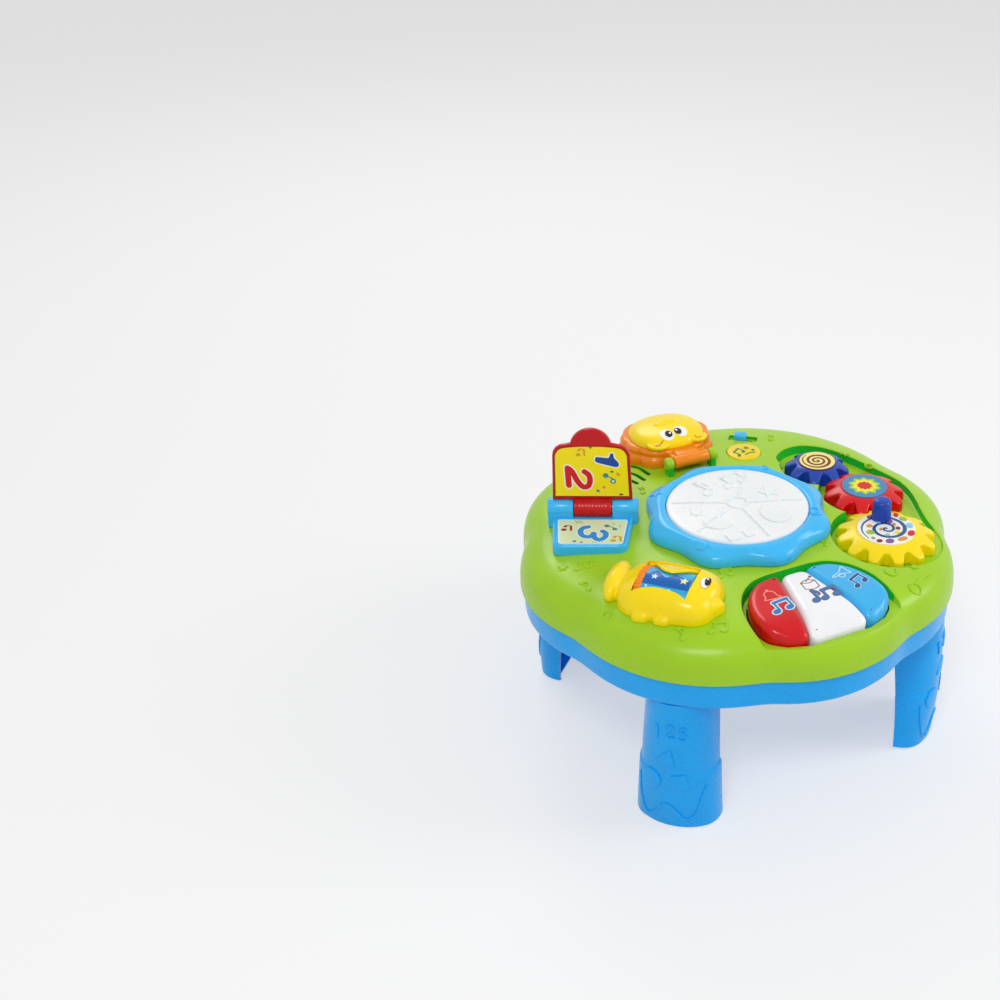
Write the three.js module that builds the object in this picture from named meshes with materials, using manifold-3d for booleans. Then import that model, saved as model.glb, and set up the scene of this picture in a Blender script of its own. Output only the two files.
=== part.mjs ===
// A toddler's musical activity table: a green lobed top on a blue tray with four plug-in legs,
// carrying a drum, three piano keys, a train of toy gears, a lion flap, a flip book and a fish roller.
// Millimetres, +Z up, keys towards -Y, origin on the floor under the middle of the table.
import * as THREE from 'three';
import { mergeVertices } from 'three/addons/utils/BufferGeometryUtils.js';
import Module from 'manifold-3d';

const wasm = await Module();
wasm.setup();

// Clearances shared by all pieces
const seatGap = 0.3;
const runningGap = 0.3;
const slideGap = 0.6;
const overrun = 12;

// Table outline and deck
const lobeRadius = 155;
const notchDepth = 7.5;
const deckHeight = 156;
const deckRise = 31;
const seamHeight = deckHeight - deckRise;
const shellWall = 2.6;
const notchAngles = [-162.5, -110.5, -69, -27, 10, 73, 117, 156];
const samplesPerLobe = 6;
const lobeFullnessShare = 0.8;
const notchFadeShare = 0.72;
// Each pair is a share of the outline radius and a share of the drop from deck to seam.
const deckProfileShares = [
  [1, 1], [0.996, 0.72], [0.981, 0.47], [0.952, 0.28], [0.91, 0.165], [0.85, 0.1], [0.74, 0.05],
  [0.6, 0.02], [0.45, 0],
];

// Base tray
const trayDepth = 21;
const trayFloor = seamHeight - trayDepth;
const trayWall = 2.5;
const trayInset = 2.2;
const trayEdgeRadius = 3.5;
const trayEdgeShares = [[1, 0], [0.45, 0.12], [0.12, 0.45], [0, 1]];
const bossRadius = 5;
const boardPostRadius = 3;

// Screws that hold the tray to the top
const screwRadius = 1.5;
const screwHeadRadius = 3;
const screwHeadHeight = 2;
const screwLength = 16;
const screwSink = 4;
// Each pair is an angle in degrees and a share of the lobe radius.
const screwPlaceShares = [[88, 0.79], [70, 0.81], [-61.5, 0.815], [-116, 0.8], [-169, 0.815], [150, 0.8]];

// Legs, in a section that is a half shell open towards the middle
const legNames = ['leg_front_left', 'leg_front_right', 'leg_rear_right', 'leg_rear_left'];
const firstLegAngle = -134;
const legWall = 2.6;
const legInnerRadius = lobeRadius * 0.832;
const legLean = 10.5;
const legLeanFullness = 1.7;
const legTopWidth = 47;
const legTopDepth = 33;
const legFootWidth = 57;
const legFootDepth = 22.8;
const legBootShare = 0.435;
const legBootStep = 1.2;
const legSteps = 10;
const legTopPlate = 3;
const plugWidth = 34;
const plugDepth = 11;
const plugHeight = 12;
const plugWall = 2;
const plugRadiusShare = 0.5;

// Drum
const drumPlace = { x: -0.0135 * lobeRadius, y: -0.0265 * lobeRadius };
const drumRingRadius = lobeRadius * 0.408;
const drumRingLobe = 2.8;
const drumLobeCount = 8;
const drumRingHeight = 10.8;
const drumHeadRadius = lobeRadius * 0.319;
const drumHeadRise = 12.5;
const drumHeadWall = 2.4;
const drumSkirt = 7.5;
const drumTravel = 2;
const drumStemRadius = 5;
const drumLedge = 4.2;
const drumOpeningRadius = drumHeadRadius - drumLedge;
const drumRingLip = 0.6;

// Keys, in a fan about the key centre line
const keyCentreX = -2;
const keyBackY = -0.5 * lobeRadius;
const keyLength = lobeRadius * 0.413;
const keyHalfWidth = lobeRadius * 0.3;
const keyProud = 1.5;
const keyTopHeight = deckHeight + keyProud;
const shelfDepth = 10;
const shelfHeight = deckHeight - shelfDepth;
const keySink = 6;
const keyBottomHeight = shelfHeight - keySink;
const keyCrown = 4;
const keyGap = 0.7;
const keyHoleGap = 0.9;
const keyRodSetback = 10.5;
const keyRodRadius = 2;
const keyRodRise = 3.6;
const keyRodHeight = keyBottomHeight + keyRodRise;
const keyRodSpan = keyHalfWidth * 1.8;
const keyWall = 2.4;
const keyHollowShare = 0.87;
const keySpine = 4.6;
const keyLugThickness = 4;
const keyLugRadius = 5;
const shelfMargin = 3.6;
// Half outlines of the fan, as shares of the half width and of the length, from the back edge to the front.
const keyMiddleShares = [[0.2, 0.03], [0.46, 1]];
const keyOuterShares = [[0.34, 0], [0.58, 0.04], [0.8, 0.17], [0.95, 0.38], [1, 0.6], [0.95, 0.79], [0.77, 0.92]];

// Gears
const gearModule = lobeRadius * 0.0345;
const gearTeeth = { gear_small: 8, gear_medium: 10, gear_large: 12 };
const gearAddendum = 2.9;
const gearDedendum = 3.9;
const gearThickness = 11.6;
const gearBevel = 1.6;
const gearDraft = 0.9;
const gearMediumPlace = { x: lobeRadius * 0.639, y: lobeRadius * -0.0645 };
const gearSmallAngle = 104;
const gearLargeAngle = -108;
const gearTopWall = 1.8;
const gearPinRadius = 4;
const gearPinFlange = 6.5;
const gearPinFlangeThickness = 2;
const gearRimGap = 3;
const gearLabelThickness = 0.5;
const gearLabelShare = 0.61;
const recessDepth = 9;
const recessFloor = deckHeight - recessDepth;
// Wall of the gear recess: gear, angle in degrees and distance as a share of that gear's outer radius.
const recessWallShares = [
  ['gear_small', 140, 1.2], ['gear_small', 125, 1.34], ['gear_small', 100, 1.42], ['gear_small', 72, 1.4],
  ['gear_small', 28, 1.26], ['gear_medium', 25, 1.17], ['gear_medium', 0, 1.14], ['gear_medium', -25, 1.18],
  ['gear_large', 15, 1.19], ['gear_large', -21, 1.13], ['gear_large', -52, 1.11], ['gear_large', -80, 1.1],
  ['gear_large', -113, 1.09],
];
const crankRadius = 7;
const crankHeight = 17;
const crankOffset = 12.5;
const crankAngle = 70;

// Lion flap
const lionPlace = { x: 0, y: lobeRadius * 0.4645 };
const lionAxisRise = 9;
const lionTiltAngle = -1.5;
const lionManeCentre = { x: -1.5, y: 40 };
const lionManeRadius = { x: 34.7, y: 31 };
const lionScallopCount = 11;
const lionScallop = 1.3;
const lionUnderside = 7.2;
const lionSkirt = 8;
const lionWall = 2.6;
const lionHollowShare = 0.88;
const lionManeTop = 4;
const lionFaceCentre = { x: 0.5, y: 38.5 };
const lionFaceRadius = { x: 28, y: 25.5 };
const lionFaceRise = 9;
const lionEarRadius = 7;
const lionEarPlaceShare = { x: 0.74, y: 0.82 };
const lionBarrelRadius = 4.5;
const lionBarrelLength = 28;
const lionTabWidth = 26;
const lionPinRadius = 1.6;
const lionLugThickness = 6;
const lionLugRadius = 5;

// Flip book
const bookPlace = { x: lobeRadius * -0.59, y: lobeRadius * 0.255 };
const bookTurnAngle = -26.6;
const bookAxisRise = 9.5;
const bookBarrelRadius = 6.8;
const bookLength = 62;
const bookKnuckle = 26;
const bookPinRadius = 2;
const bookBaseLength = 42.5;
const bookBaseHeel = 6;
const bookBaseBackWidth = 55;
const bookBaseFrontWidth = 50;
const bookBaseTop = 5;
const bookPageGap = 0.5;
const bookPageHeight = 42;
const bookPageBottomWidth = 54.5;
const bookPageTopWidth = 52;
const bookPageCorner = 8;
const bookPageThickness = 4;
const bookTabRadius = 14;
const bookTabSink = 2;
const bookLabelThickness = 0.5;
const bookLabelMargin = 4;

// Fish
const fishPlace = { x: lobeRadius * -0.561, y: lobeRadius * -0.432 };
const fishTurnAngle = -45.4;
const fishBodyRadius = { x: 33, y: 26, z: 18.5 };
const fishBodyShift = 3.2;
const fishBodyFullness = 2.4;
const fishRollerRadius = 20;
const fishRollerLength = 32;
const fishRollerDrop = 2;
const fishPinRadius = 2;
const fishPinSeat = 6;
const fishCheek = { thickness: 7.5, width: 15, drop: 7 };
const fishWindowWidth = 31;
const fishTail = { x: -33, halfLength: 20, halfWidth: 7.5, height: 12, turn: 8 };
const fishFin = { x: 0, y: -23.5, spacing: 12, radius: 6.2, height: 7 };
const fishRidge = { x: -1, y: 20.5, halfLength: 22, halfWidth: 4.6, height: 19.5 };

// Slide switch, badge and speaker
const switchPlace = { x: lobeRadius * 0.381, y: lobeRadius * 0.645 };
const switchTurnAngle = -37;
const switchSlotLength = 22;
const switchSlotWidth = 9;
const switchKnobLength = 9.5;
const switchKnobRise = 4;
const switchStem = { length: 5, width: 3.4 };
const switchTravel = 7;
const switchBodySize = { x: 26, y: 14, z: 7 };
const switchSeatDepth = 7;
const switchSeatHeight = deckHeight - switchSeatDepth;
const badgePlace = { x: lobeRadius * 0.31, y: lobeRadius * 0.506 };
const badgeRadius = 12.8;
const badgeThickness = 2.2;
const speakerPlace = { x: lobeRadius * -0.342, y: lobeRadius * 0.6 };
const speakerRadius = 24;
const speakerFlange = 2;
const speakerMagnetRadius = 13;
const speakerDepth = 20;
const speakerSeatDepth = 8.5;
const speakerSeatHeight = deckHeight - speakerSeatDepth;
const speakerSeatWall = 2;
const slotWidth = 2.6;
// Wavy sound slots, as shares of the lobe radius.
const soundSlotShares = [
  [[-0.42, 0.755], [-0.365, 0.7], [-0.325, 0.64], [-0.312, 0.6]],
  [[-0.318, 0.735], [-0.272, 0.66], [-0.215, 0.6], [-0.196, 0.515]],
  [[-0.292, 0.605], [-0.264, 0.555], [-0.26, 0.5]],
  [[-0.338, 0.545], [-0.305, 0.51], [-0.292, 0.475]],
  [[-0.5, 0.695], [-0.475, 0.67], [-0.463, 0.645]],
  [[-0.443, 0.64], [-0.41, 0.615], [-0.385, 0.575], [-0.375, 0.545]],
];

// Boards, lights, rubber pads and batteries
const boardThickness = 1.6;
const mainBoardDepth = 22;
const mainBoardHeight = deckHeight - mainBoardDepth;
const mainBoardSize = { x: 92, y: 68 };
const keyBoardDepth = 14;
const keyBoardHeight = keyBottomHeight - keyBoardDepth;
const keyBoardSize = { x: 76, y: 20 };
const keyBoardSetback = keyLength * 0.656;
const boardPostInset = 5;
const lightRadius = 2.5;
const lightHeight = 8;
const lightSpacing = { x: 60, y: 40 };
const rubberPadRadius = 6;
const drumPadHeight = 8.4;
const batteryRadius = 7.15;
const batteryLength = 50.2;
const batteryGap = 0.8;
const batteryCount = 3;
const batteryPlaceY = drumPlace.y;
const contactThickness = 1;
const contactHeight = 12;
const doorMargin = 5;
const doorThickness = 2;
const batteryLift = 3.4;

const leafGreen = 0x95c91f;
const skyBlue = 0x0aa2ea;
const paleBlue = 0x45b8ee;
const toyRed = 0xd8000f;
const toyYellow = 0xffdd00;
const navyBlue = 0x1d46ad;

const radians = (degrees) => THREE.MathUtils.degToRad(degrees);
const fullTurn = 360;
const halfTurn = fullTurn / 2;
const legAngles = Object.fromEntries(legNames.map((name, i) => {
  return [name, firstLegAngle + i * fullTurn / legNames.length];
}));

// Shapes and solids

function finish(color, roughness = 0.3, metalness = 0) {
  return new THREE.MeshStandardMaterial({ color, roughness, metalness });
}

// Joins closed rings of points, lowest first, into one closed body with flat ends.
function loft(rings) {
  const count = rings[0].length;
  const index = [];
  for (let ring = 0; ring + 1 < rings.length; ring++) {
    for (let i = 0; i < count; i++) {
      const a = ring * count + i;
      const b = ring * count + (i + 1) % count;
      index.push(a, b, a + count, b, b + count, a + count);
    }
  }
  const flat = (ring) => ring.map((point) => new THREE.Vector2(point.x, point.y));
  const top = (rings.length - 1) * count;
  for (const [a, b, c] of THREE.ShapeUtils.triangulateShape(flat(rings[0]), [])) index.push(c, b, a);
  const topFaces = THREE.ShapeUtils.triangulateShape(flat(rings.at(-1)), []);
  for (const [a, b, c] of topFaces) index.push(top + a, top + b, top + c);
  const positions = rings.flat().flatMap((point) => [point.x, point.y, point.z]);
  const geometry = new THREE.BufferGeometry();
  geometry.setAttribute('position', new THREE.Float32BufferAttribute(positions, 3));
  geometry.setIndex(index);
  return geometry;
}

function solid(geometry) {
  const bare = geometry.index ? geometry.toNonIndexed() : geometry.clone();
  bare.deleteAttribute('normal');
  bare.deleteAttribute('uv');
  const merged = mergeVertices(bare, 1e-4);
  return new wasm.Manifold(new wasm.Mesh({
    numProp: 3,
    vertProperties: new Float32Array(merged.attributes.position.array),
    triVerts: new Uint32Array(merged.index.array),
  }));
}

function geometryOf(manifold) {
  const mesh = manifold.getMesh();
  const geometry = new THREE.BufferGeometry();
  geometry.setAttribute('position', new THREE.BufferAttribute(new Float32Array(mesh.vertProperties), 3));
  geometry.setIndex(new THREE.BufferAttribute(new Uint32Array(mesh.triVerts), 1));
  return geometry;
}

const join = (solids) => solids.reduce((whole, part) => whole.add(part));
const cutAll = (body, tools) => tools.reduce((left, tool) => left.subtract(tool), body);

function block(width, depth, low, high, x = 0, y = 0, turn = 0) {
  const geometry = new THREE.BoxGeometry(width, depth, high - low);
  geometry.translate(0, 0, (low + high) / 2);
  geometry.rotateZ(radians(turn));
  geometry.translate(x, y, 0);
  return geometry;
}

function disc(radius, low, high, x = 0, y = 0, sides = 32, topRadius = radius) {
  const geometry = new THREE.CylinderGeometry(topRadius, radius, high - low, sides);
  geometry.rotateX(Math.PI / 2);
  geometry.translate(x, y, (low + high) / 2);
  return geometry;
}

// A round bar along X, centred on the given point.
function bar(radius, length, x = 0, y = 0, z = 0, sides = 24) {
  const geometry = new THREE.CylinderGeometry(radius, radius, length, sides);
  geometry.rotateZ(-Math.PI / 2);
  geometry.translate(x, y, z);
  return geometry;
}

function turned(profile, sides = 32) {
  const geometry = new THREE.LatheGeometry(
    profile.map(([radius, height]) => new THREE.Vector2(radius, height)), sides,
  );
  geometry.rotateX(Math.PI / 2);
  return geometry;
}

function slab(points, low, high) {
  const ring = (z) => points.map((point) => new THREE.Vector3(point.x, point.y, z));
  return loft([ring(low), ring(high)]);
}

function shrunk(points, share) {
  const centre = points.reduce((sum, point) => sum.add(point), new THREE.Vector2()).divideScalar(points.length);
  return points.map((point) => point.clone().sub(centre).multiplyScalar(share).add(centre));
}

function atHeight(points, z) {
  return points.map((point) => new THREE.Vector3(point.x, point.y, z));
}

// A ribbon of even width along a smooth line, with pointed round ends.
function ribbon(points, width, steps) {
  const line = new THREE.SplineCurve(points);
  const sides = [[], []];
  for (let i = 0; i <= steps; i++) {
    const place = line.getPoint(i / steps);
    const along = line.getTangent(i / steps);
    const across = new THREE.Vector2(-along.y, along.x);
    const half = width / 2 * (i === 0 || i === steps ? Math.SQRT1_2 / Math.SQRT2 : 1);
    sides[0].push(place.clone().addScaledVector(across, -half));
    sides[1].push(place.clone().addScaledVector(across, half));
  }
  return [...sides[0], ...sides[1].reverse()];
}

// Table outline and deck surface

function outlineRadius(share) {
  return lobeRadius - notchDepth * (1 - Math.sin(Math.PI * share) ** lobeFullnessShare);
}

function outlineSamples() {
  const samples = [];
  notchAngles.forEach((start, lobe) => {
    const next = notchAngles[(lobe + 1) % notchAngles.length];
    const span = (next - start + fullTurn) % fullTurn;
    for (let i = 0; i < samplesPerLobe; i++) {
      const share = i / samplesPerLobe;
      samples.push({ angle: radians(start + span * share), radius: outlineRadius(share) });
    }
  });
  return samples;
}

const outline = outlineSamples();

// A ring of points at a share of the outline, drawn in by a fixed amount; notches fade towards the middle.
function outlineRing(share, inset, z) {
  const middle = lobeRadius - notchDepth * 0.3;
  const depth = THREE.MathUtils.smoothstep(share, notchFadeShare, 1);
  return outline.map(({ angle, radius }) => {
    const reach = share * (middle + (radius - middle) * depth) - inset;
    return new THREE.Vector3(Math.cos(angle) * reach, Math.sin(angle) * reach, z);
  });
}

// The space under the deck surface, down to the given height.
function deckSolid(bottom, inset, sink) {
  const rings = deckProfileShares.map(
    ([share, drop]) => outlineRing(share, inset, deckHeight - deckRise * drop - sink),
  );
  return solid(loft([outlineRing(1, inset, bottom), ...rings]));
}

function deckLevel(x, y) {
  const share = Math.hypot(x, y) / lobeRadius;
  const inner = deckProfileShares.findIndex(([radius]) => radius <= share);
  if (inner < 0) return deckHeight;
  if (inner === 0) return seamHeight;
  const [farRadius, farDrop] = deckProfileShares[inner - 1];
  const [nearRadius, nearDrop] = deckProfileShares[inner];
  const drop = THREE.MathUtils.mapLinear(share, nearRadius, farRadius, nearDrop, farDrop);
  return deckHeight - deckRise * drop;
}

const deckOutside = deckSolid(seamHeight, 0, 0);
const aboveDeck = deckSolid(seamHeight - overrun, 0, -seatGap);

// Cuts a piece so that it sits on the deck with the seat gap, in the frame of its own group.
function seatedOnDeck(piece, group) {
  group.updateMatrixWorld(true);
  const deck = geometryOf(aboveDeck).applyMatrix4(group.matrixWorld.clone().invert());
  return piece.subtract(solid(deck));
}

// Key fan outlines

function fanPoint([across, along], side, grow = 0) {
  const x = keyCentreX + side * (across * keyHalfWidth + Math.sign(across) * grow);
  return new THREE.Vector2(x, keyBackY - along * keyLength);
}

function middleKeyOutline(grow) {
  const back = keyMiddleShares[0];
  const front = keyMiddleShares[1];
  return [fanPoint(front, -1, grow), fanPoint(front, 1, grow), fanPoint(back, 1, grow), fanPoint(back, -1, grow)];
}

function outerKeyOutline(side) {
  const [back, front] = keyMiddleShares;
  const inner = [
    fanPoint(back, side, keyGap), ...keyOuterShares.map((share) => fanPoint(share, side)),
    fanPoint(front, side, keyGap),
  ];
  return side < 0 ? inner : inner.reverse();
}

function fanOutline(grow) {
  const shares = [...keyOuterShares, keyMiddleShares[1]];
  const centre = new THREE.Vector2(keyCentreX, keyBackY - keyLength * 0.55);
  const half = (side) => shares.map((share) => {
    const point = fanPoint(share, side);
    const away = point.clone().sub(centre).setLength(grow);
    return point.add(away);
  });
  return [...half(-1), ...half(1).reverse()];
}

function shelfOutline(grow) {
  const margin = shelfMargin + grow;
  const widest = keyOuterShares.findIndex(([across]) => across === 1) + 1;
  const beyond = lobeRadius + overrun;
  const half = (side) => {
    const lowest = keyBackY - keyLength * keyOuterShares[widest - 1][1] - margin;
    const points = fanOutline(margin).filter(
      (point) => Math.sign(point.x - keyCentreX) === side && point.y > lowest,
    );
    return side < 0 ? points : points.reverse();
  };
  const left = half(-1);
  const right = half(1);
  const edge = keyHalfWidth + margin;
  return [
    ...left,
    new THREE.Vector2(keyCentreX - edge, -beyond), new THREE.Vector2(keyCentreX + edge, -beyond),
    ...right.reverse(),
  ];
}

// Gear places and outlines

const pitchRadius = (name) => gearModule * gearTeeth[name] / 2;
const outerRadius = (name) => pitchRadius(name) + gearAddendum;

function placeFrom(centre, distance, direction) {
  const angle = radians(direction);
  return { x: centre.x + distance * Math.cos(angle), y: centre.y + distance * Math.sin(angle) };
}

const gearPlace = {
  gear_medium: gearMediumPlace,
  gear_small: placeFrom(gearMediumPlace, pitchRadius('gear_medium') + pitchRadius('gear_small'), gearSmallAngle),
  gear_large: placeFrom(gearMediumPlace, pitchRadius('gear_medium') + pitchRadius('gear_large'), gearLargeAngle),
};

// Turns each gear so that a tooth of one meets a gap of the next.
function gearPhases() {
  const pitch = (name) => fullTurn / gearTeeth[name];
  const medium = gearLargeAngle + pitch('gear_medium') / 2;
  const large = gearLargeAngle + halfTurn;
  const turns = Math.round((gearSmallAngle - medium) / pitch('gear_medium'));
  const ahead = medium + turns * pitch('gear_medium') - gearSmallAngle;
  const back = ahead * gearTeeth.gear_medium / gearTeeth.gear_small;
  const small = gearSmallAngle + halfTurn - back + pitch('gear_small') / 2;
  return { gear_small: small, gear_medium: medium, gear_large: large };
}

// Tooth flank points: share of the tooth pitch and share of the way from root to tip.
const toothShares = [[-0.36, 0], [-0.245, 0.56], [-0.15, 1], [0.15, 1], [0.245, 0.56], [0.36, 0]];

function gearRing(name, inset, z) {
  const teeth = gearTeeth[name];
  const root = pitchRadius(name) - gearDedendum;
  const depth = gearAddendum + gearDedendum;
  const points = [];
  for (let tooth = 0; tooth < teeth; tooth++) {
    for (const [along, out] of toothShares) {
      const angle = (tooth + along) * 2 * Math.PI / teeth;
      const radius = root + depth * out - inset;
      points.push(new THREE.Vector3(Math.cos(angle) * radius, Math.sin(angle) * radius, z));
    }
  }
  return points;
}

function recessOutline(grow) {
  return recessWallShares.map(([name, direction, share]) => {
    const place = placeFrom(gearPlace[name], outerRadius(name) * share + grow, direction);
    return new THREE.Vector2(place.x, place.y);
  });
}

function recessSolid(grow, low, high) {
  const discs = Object.keys(gearTeeth).map((name) => {
    return solid(disc(outerRadius(name) + gearRimGap + grow, low, high, gearPlace[name].x, gearPlace[name].y, 28));
  });
  const centres = ['gear_large', 'gear_medium', 'gear_small'].map(
    (name) => new THREE.Vector2(gearPlace[name].x, gearPlace[name].y),
  );
  const outlinePoints = [...centres, ...recessOutline(grow)].reverse();
  return join([...discs, solid(slab(outlinePoints, low, high))]);
}

// Groups that carry the tilted or turned assemblies

function groupAt(x, y, z, turnZ = 0, turnX = 0) {
  const group = new THREE.Group();
  group.position.set(x, y, z);
  group.rotation.set(radians(turnX), 0, radians(turnZ));
  return group;
}

const table = new THREE.Group();
const lionGroup = groupAt(lionPlace.x, lionPlace.y, deckHeight + lionAxisRise, 0, lionTiltAngle);
const bookAxisHeight = deckHeight + bookAxisRise;
const bookGroup = groupAt(bookPlace.x, bookPlace.y, bookAxisHeight, bookTurnAngle);
const fishGroup = groupAt(fishPlace.x, fishPlace.y, deckLevel(fishPlace.x, fishPlace.y), fishTurnAngle);
const switchGroup = groupAt(switchPlace.x, switchPlace.y, deckLevel(switchPlace.x, switchPlace.y), switchTurnAngle);
table.add(lionGroup, bookGroup, fishGroup, switchGroup);

function add(name, shape, material, group = table) {
  const geometry = shape instanceof THREE.BufferGeometry ? shape : geometryOf(shape);
  const mesh = new THREE.Mesh(geometry, material);
  mesh.name = name;
  group.add(mesh);
  return mesh;
}

// Case screws and their bosses

const screwPlaces = screwPlaceShares.map(
  ([direction, share]) => placeFrom({ x: 0, y: 0 }, lobeRadius * share, direction),
);
const screwSeat = trayFloor + screwSink;
const trayBossTop = screwSeat + trayWall;

function topBoss(place) {
  const roof = deckLevel(place.x, place.y) - shellWall / 2;
  const post = solid(disc(bossRadius, trayBossTop + seatGap, roof, place.x, place.y, 16));
  return post.subtract(
    solid(disc(screwRadius + runningGap, 0, screwSeat + screwLength + seatGap, place.x, place.y, 12)),
  );
}

function caseScrews() {
  screwPlaces.forEach((place, i) => {
    const head = solid(
      disc(screwHeadRadius, screwSeat - seatGap - screwHeadHeight, screwSeat - seatGap, place.x, place.y, 12),
    );
    const shank = solid(
      disc(
        screwRadius, screwSeat - seatGap - screwHeadHeight / 2, screwSeat + screwLength - seatGap, place.x,
        place.y, 12,
      ),
    );
    add(`case_screw_${i + 1}`, head.add(shank), finish(0xb8bcc2, 0.35, 0.9));
  });
}

// Top shell

function lionLugs() {
  const offset = (lionBarrelLength + lionLugThickness) / 2 + runningGap;
  return [-1, 1].map((side) => {
    const x = lionPlace.x + side * offset;
    const axis = deckHeight + lionAxisRise;
    const round = solid(bar(lionLugRadius, lionLugThickness, x, lionPlace.y, axis, 16));
    const foot = solid(
      block(lionLugThickness, 2 * lionLugRadius, deckHeight - shellWall - lionLugRadius / 2, axis, x, lionPlace.y),
    );
    return round.add(foot);
  });
}

function keyLugs() {
  const offset = (keyRodSpan + keyLugThickness) / 2 - keyLugThickness;
  const y = keyBackY - keyRodSetback;
  return [-1, 1].map((side) => {
    const x = keyCentreX + side * offset;
    const eye = solid(bar(keyLugRadius, keyLugThickness, x, y, keyRodHeight, 16));
    const web = solid(block(keyLugThickness, 2 * keyLugRadius, keyRodHeight, deckHeight - shellWall, x, y));
    return eye.add(web);
  });
}

function speakerSeat() {
  const ring = disc(speakerRadius, speakerSeatHeight, deckHeight, speakerPlace.x, speakerPlace.y, 28);
  const bore = disc(
    speakerRadius - speakerSeatWall, speakerSeatHeight - overrun, deckHeight, speakerPlace.x, speakerPlace.y, 28,
  );
  return solid(ring).subtract(solid(bore)).intersect(deckOutside);
}

function switchSeat() {
  const pad = block(
    switchBodySize.x, switchBodySize.y, switchSeatHeight, deckHeight, switchPlace.x, switchPlace.y,
    switchTurnAngle,
  );
  return solid(pad).intersect(deckOutside);
}

function soundSlots() {
  return soundSlotShares.map((shares) => {
    const points = shares.map(([x, y]) => new THREE.Vector2(x * lobeRadius, y * lobeRadius));
    const line = ribbon(points, slotWidth, 2 * (points.length - 1));
    return solid(slab(line, seamHeight, deckHeight + overrun));
  });
}

function topShell() {
  const skin = deckOutside.subtract(deckSolid(seamHeight - overrun, shellWall, shellWall));
  const keyTub = solid(
    slab(shelfOutline(shellWall), shelfHeight - shellWall, deckHeight + overrun),
  ).intersect(deckOutside);
  const gearTub = recessSolid(shellWall, recessFloor - shellWall, deckHeight + overrun).intersect(deckOutside);
  const solids = [
    skin, keyTub, gearTub, speakerSeat(), switchSeat(), ...lionLugs(), ...keyLugs(), ...screwPlaces.map(topBoss),
  ];
  const lionBore = bar(
    lionPinRadius + runningGap, lionBarrelLength + 4 * lionLugThickness, lionPlace.x, lionPlace.y,
    deckHeight + lionAxisRise, 12,
  );
  const keyBore = bar(
    keyRodRadius + runningGap, keyRodSpan + 4 * keyLugThickness, keyCentreX, keyBackY - keyRodSetback,
    keyRodHeight, 12,
  );
  const slotHole = block(
    switchSlotLength, switchSlotWidth, switchSeatHeight + shellWall, deckHeight + overrun, switchPlace.x,
    switchPlace.y, switchTurnAngle,
  );
  const stemHole = block(
    switchTravel + switchStem.length + 4 * slideGap, switchStem.width + 2 * slideGap, seamHeight, deckHeight,
    switchPlace.x, switchPlace.y, switchTurnAngle,
  );
  const badgeSeat = disc(
    badgeRadius + seatGap, badgeSeatHeight, deckHeight + overrun, badgePlace.x, badgePlace.y, 28,
  );
  const gearBores = Object.values(gearPlace).map(
    ({ x, y }) => disc(gearPinRadius + runningGap, seamHeight, deckHeight, x, y, 16),
  );
  const cuts = [
    slab(shelfOutline(0), shelfHeight, deckHeight + overrun),
    slab(fanOutline(keyHoleGap), seamHeight, deckHeight + overrun),
    disc(drumOpeningRadius, seamHeight, deckHeight + overrun, drumPlace.x, drumPlace.y, 36),
    lionBore, keyBore, slotHole, stemHole, badgeSeat, ...gearBores,
  ].map(solid);
  const shell = cutAll(
    join(solids), [...cuts, fishOpening(), recessSolid(0, recessFloor, deckHeight + overrun), ...soundSlots()],
  );
  add('top_shell', shell, finish(leafGreen));
}

// Base tray

function trayRings(wall, floor) {
  const inset = trayInset + wall;
  const rings = trayEdgeShares.map(([inward, up]) => {
    return outlineRing(1, inset + trayEdgeRadius * inward, floor + trayEdgeRadius * up);
  });
  const top = seamHeight - seatGap + (wall > 0 ? overrun : 0);
  return [...rings, outlineRing(1, inset, top)];
}

const plugRadius = legInnerRadius - legLean + legTopDepth * plugRadiusShare;

function legSocket(direction, wall, low, high) {
  const place = placeFrom({ x: 0, y: 0 }, plugRadius, direction);
  return solid(block(plugDepth + 2 * wall, plugWidth + 2 * wall, low, high, place.x, place.y, direction));
}

const batteryBox = {
  x: batteryCount * 2 * batteryRadius + (batteryCount + 1) * batteryGap,
  y: batteryLength + 2 * (contactThickness + 2 * seatGap),
  top: trayFloor + batteryLift + 2 * batteryRadius + batteryGap,
};

function boardPosts(size, centreY, boardHeight) {
  const posts = [];
  for (const sideX of [-1, 1]) {
    for (const sideY of [-1, 1]) {
      const x = sideX * (size.x / 2 - boardPostInset);
      const y = centreY + sideY * (size.y / 2 - boardPostInset);
      posts.push(solid(disc(boardPostRadius, trayFloor + trayWall / 2, boardHeight - seatGap, x, y, 12)));
    }
  }
  return posts;
}

const keyBoardY = keyBackY - keyBoardSetback;

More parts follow.
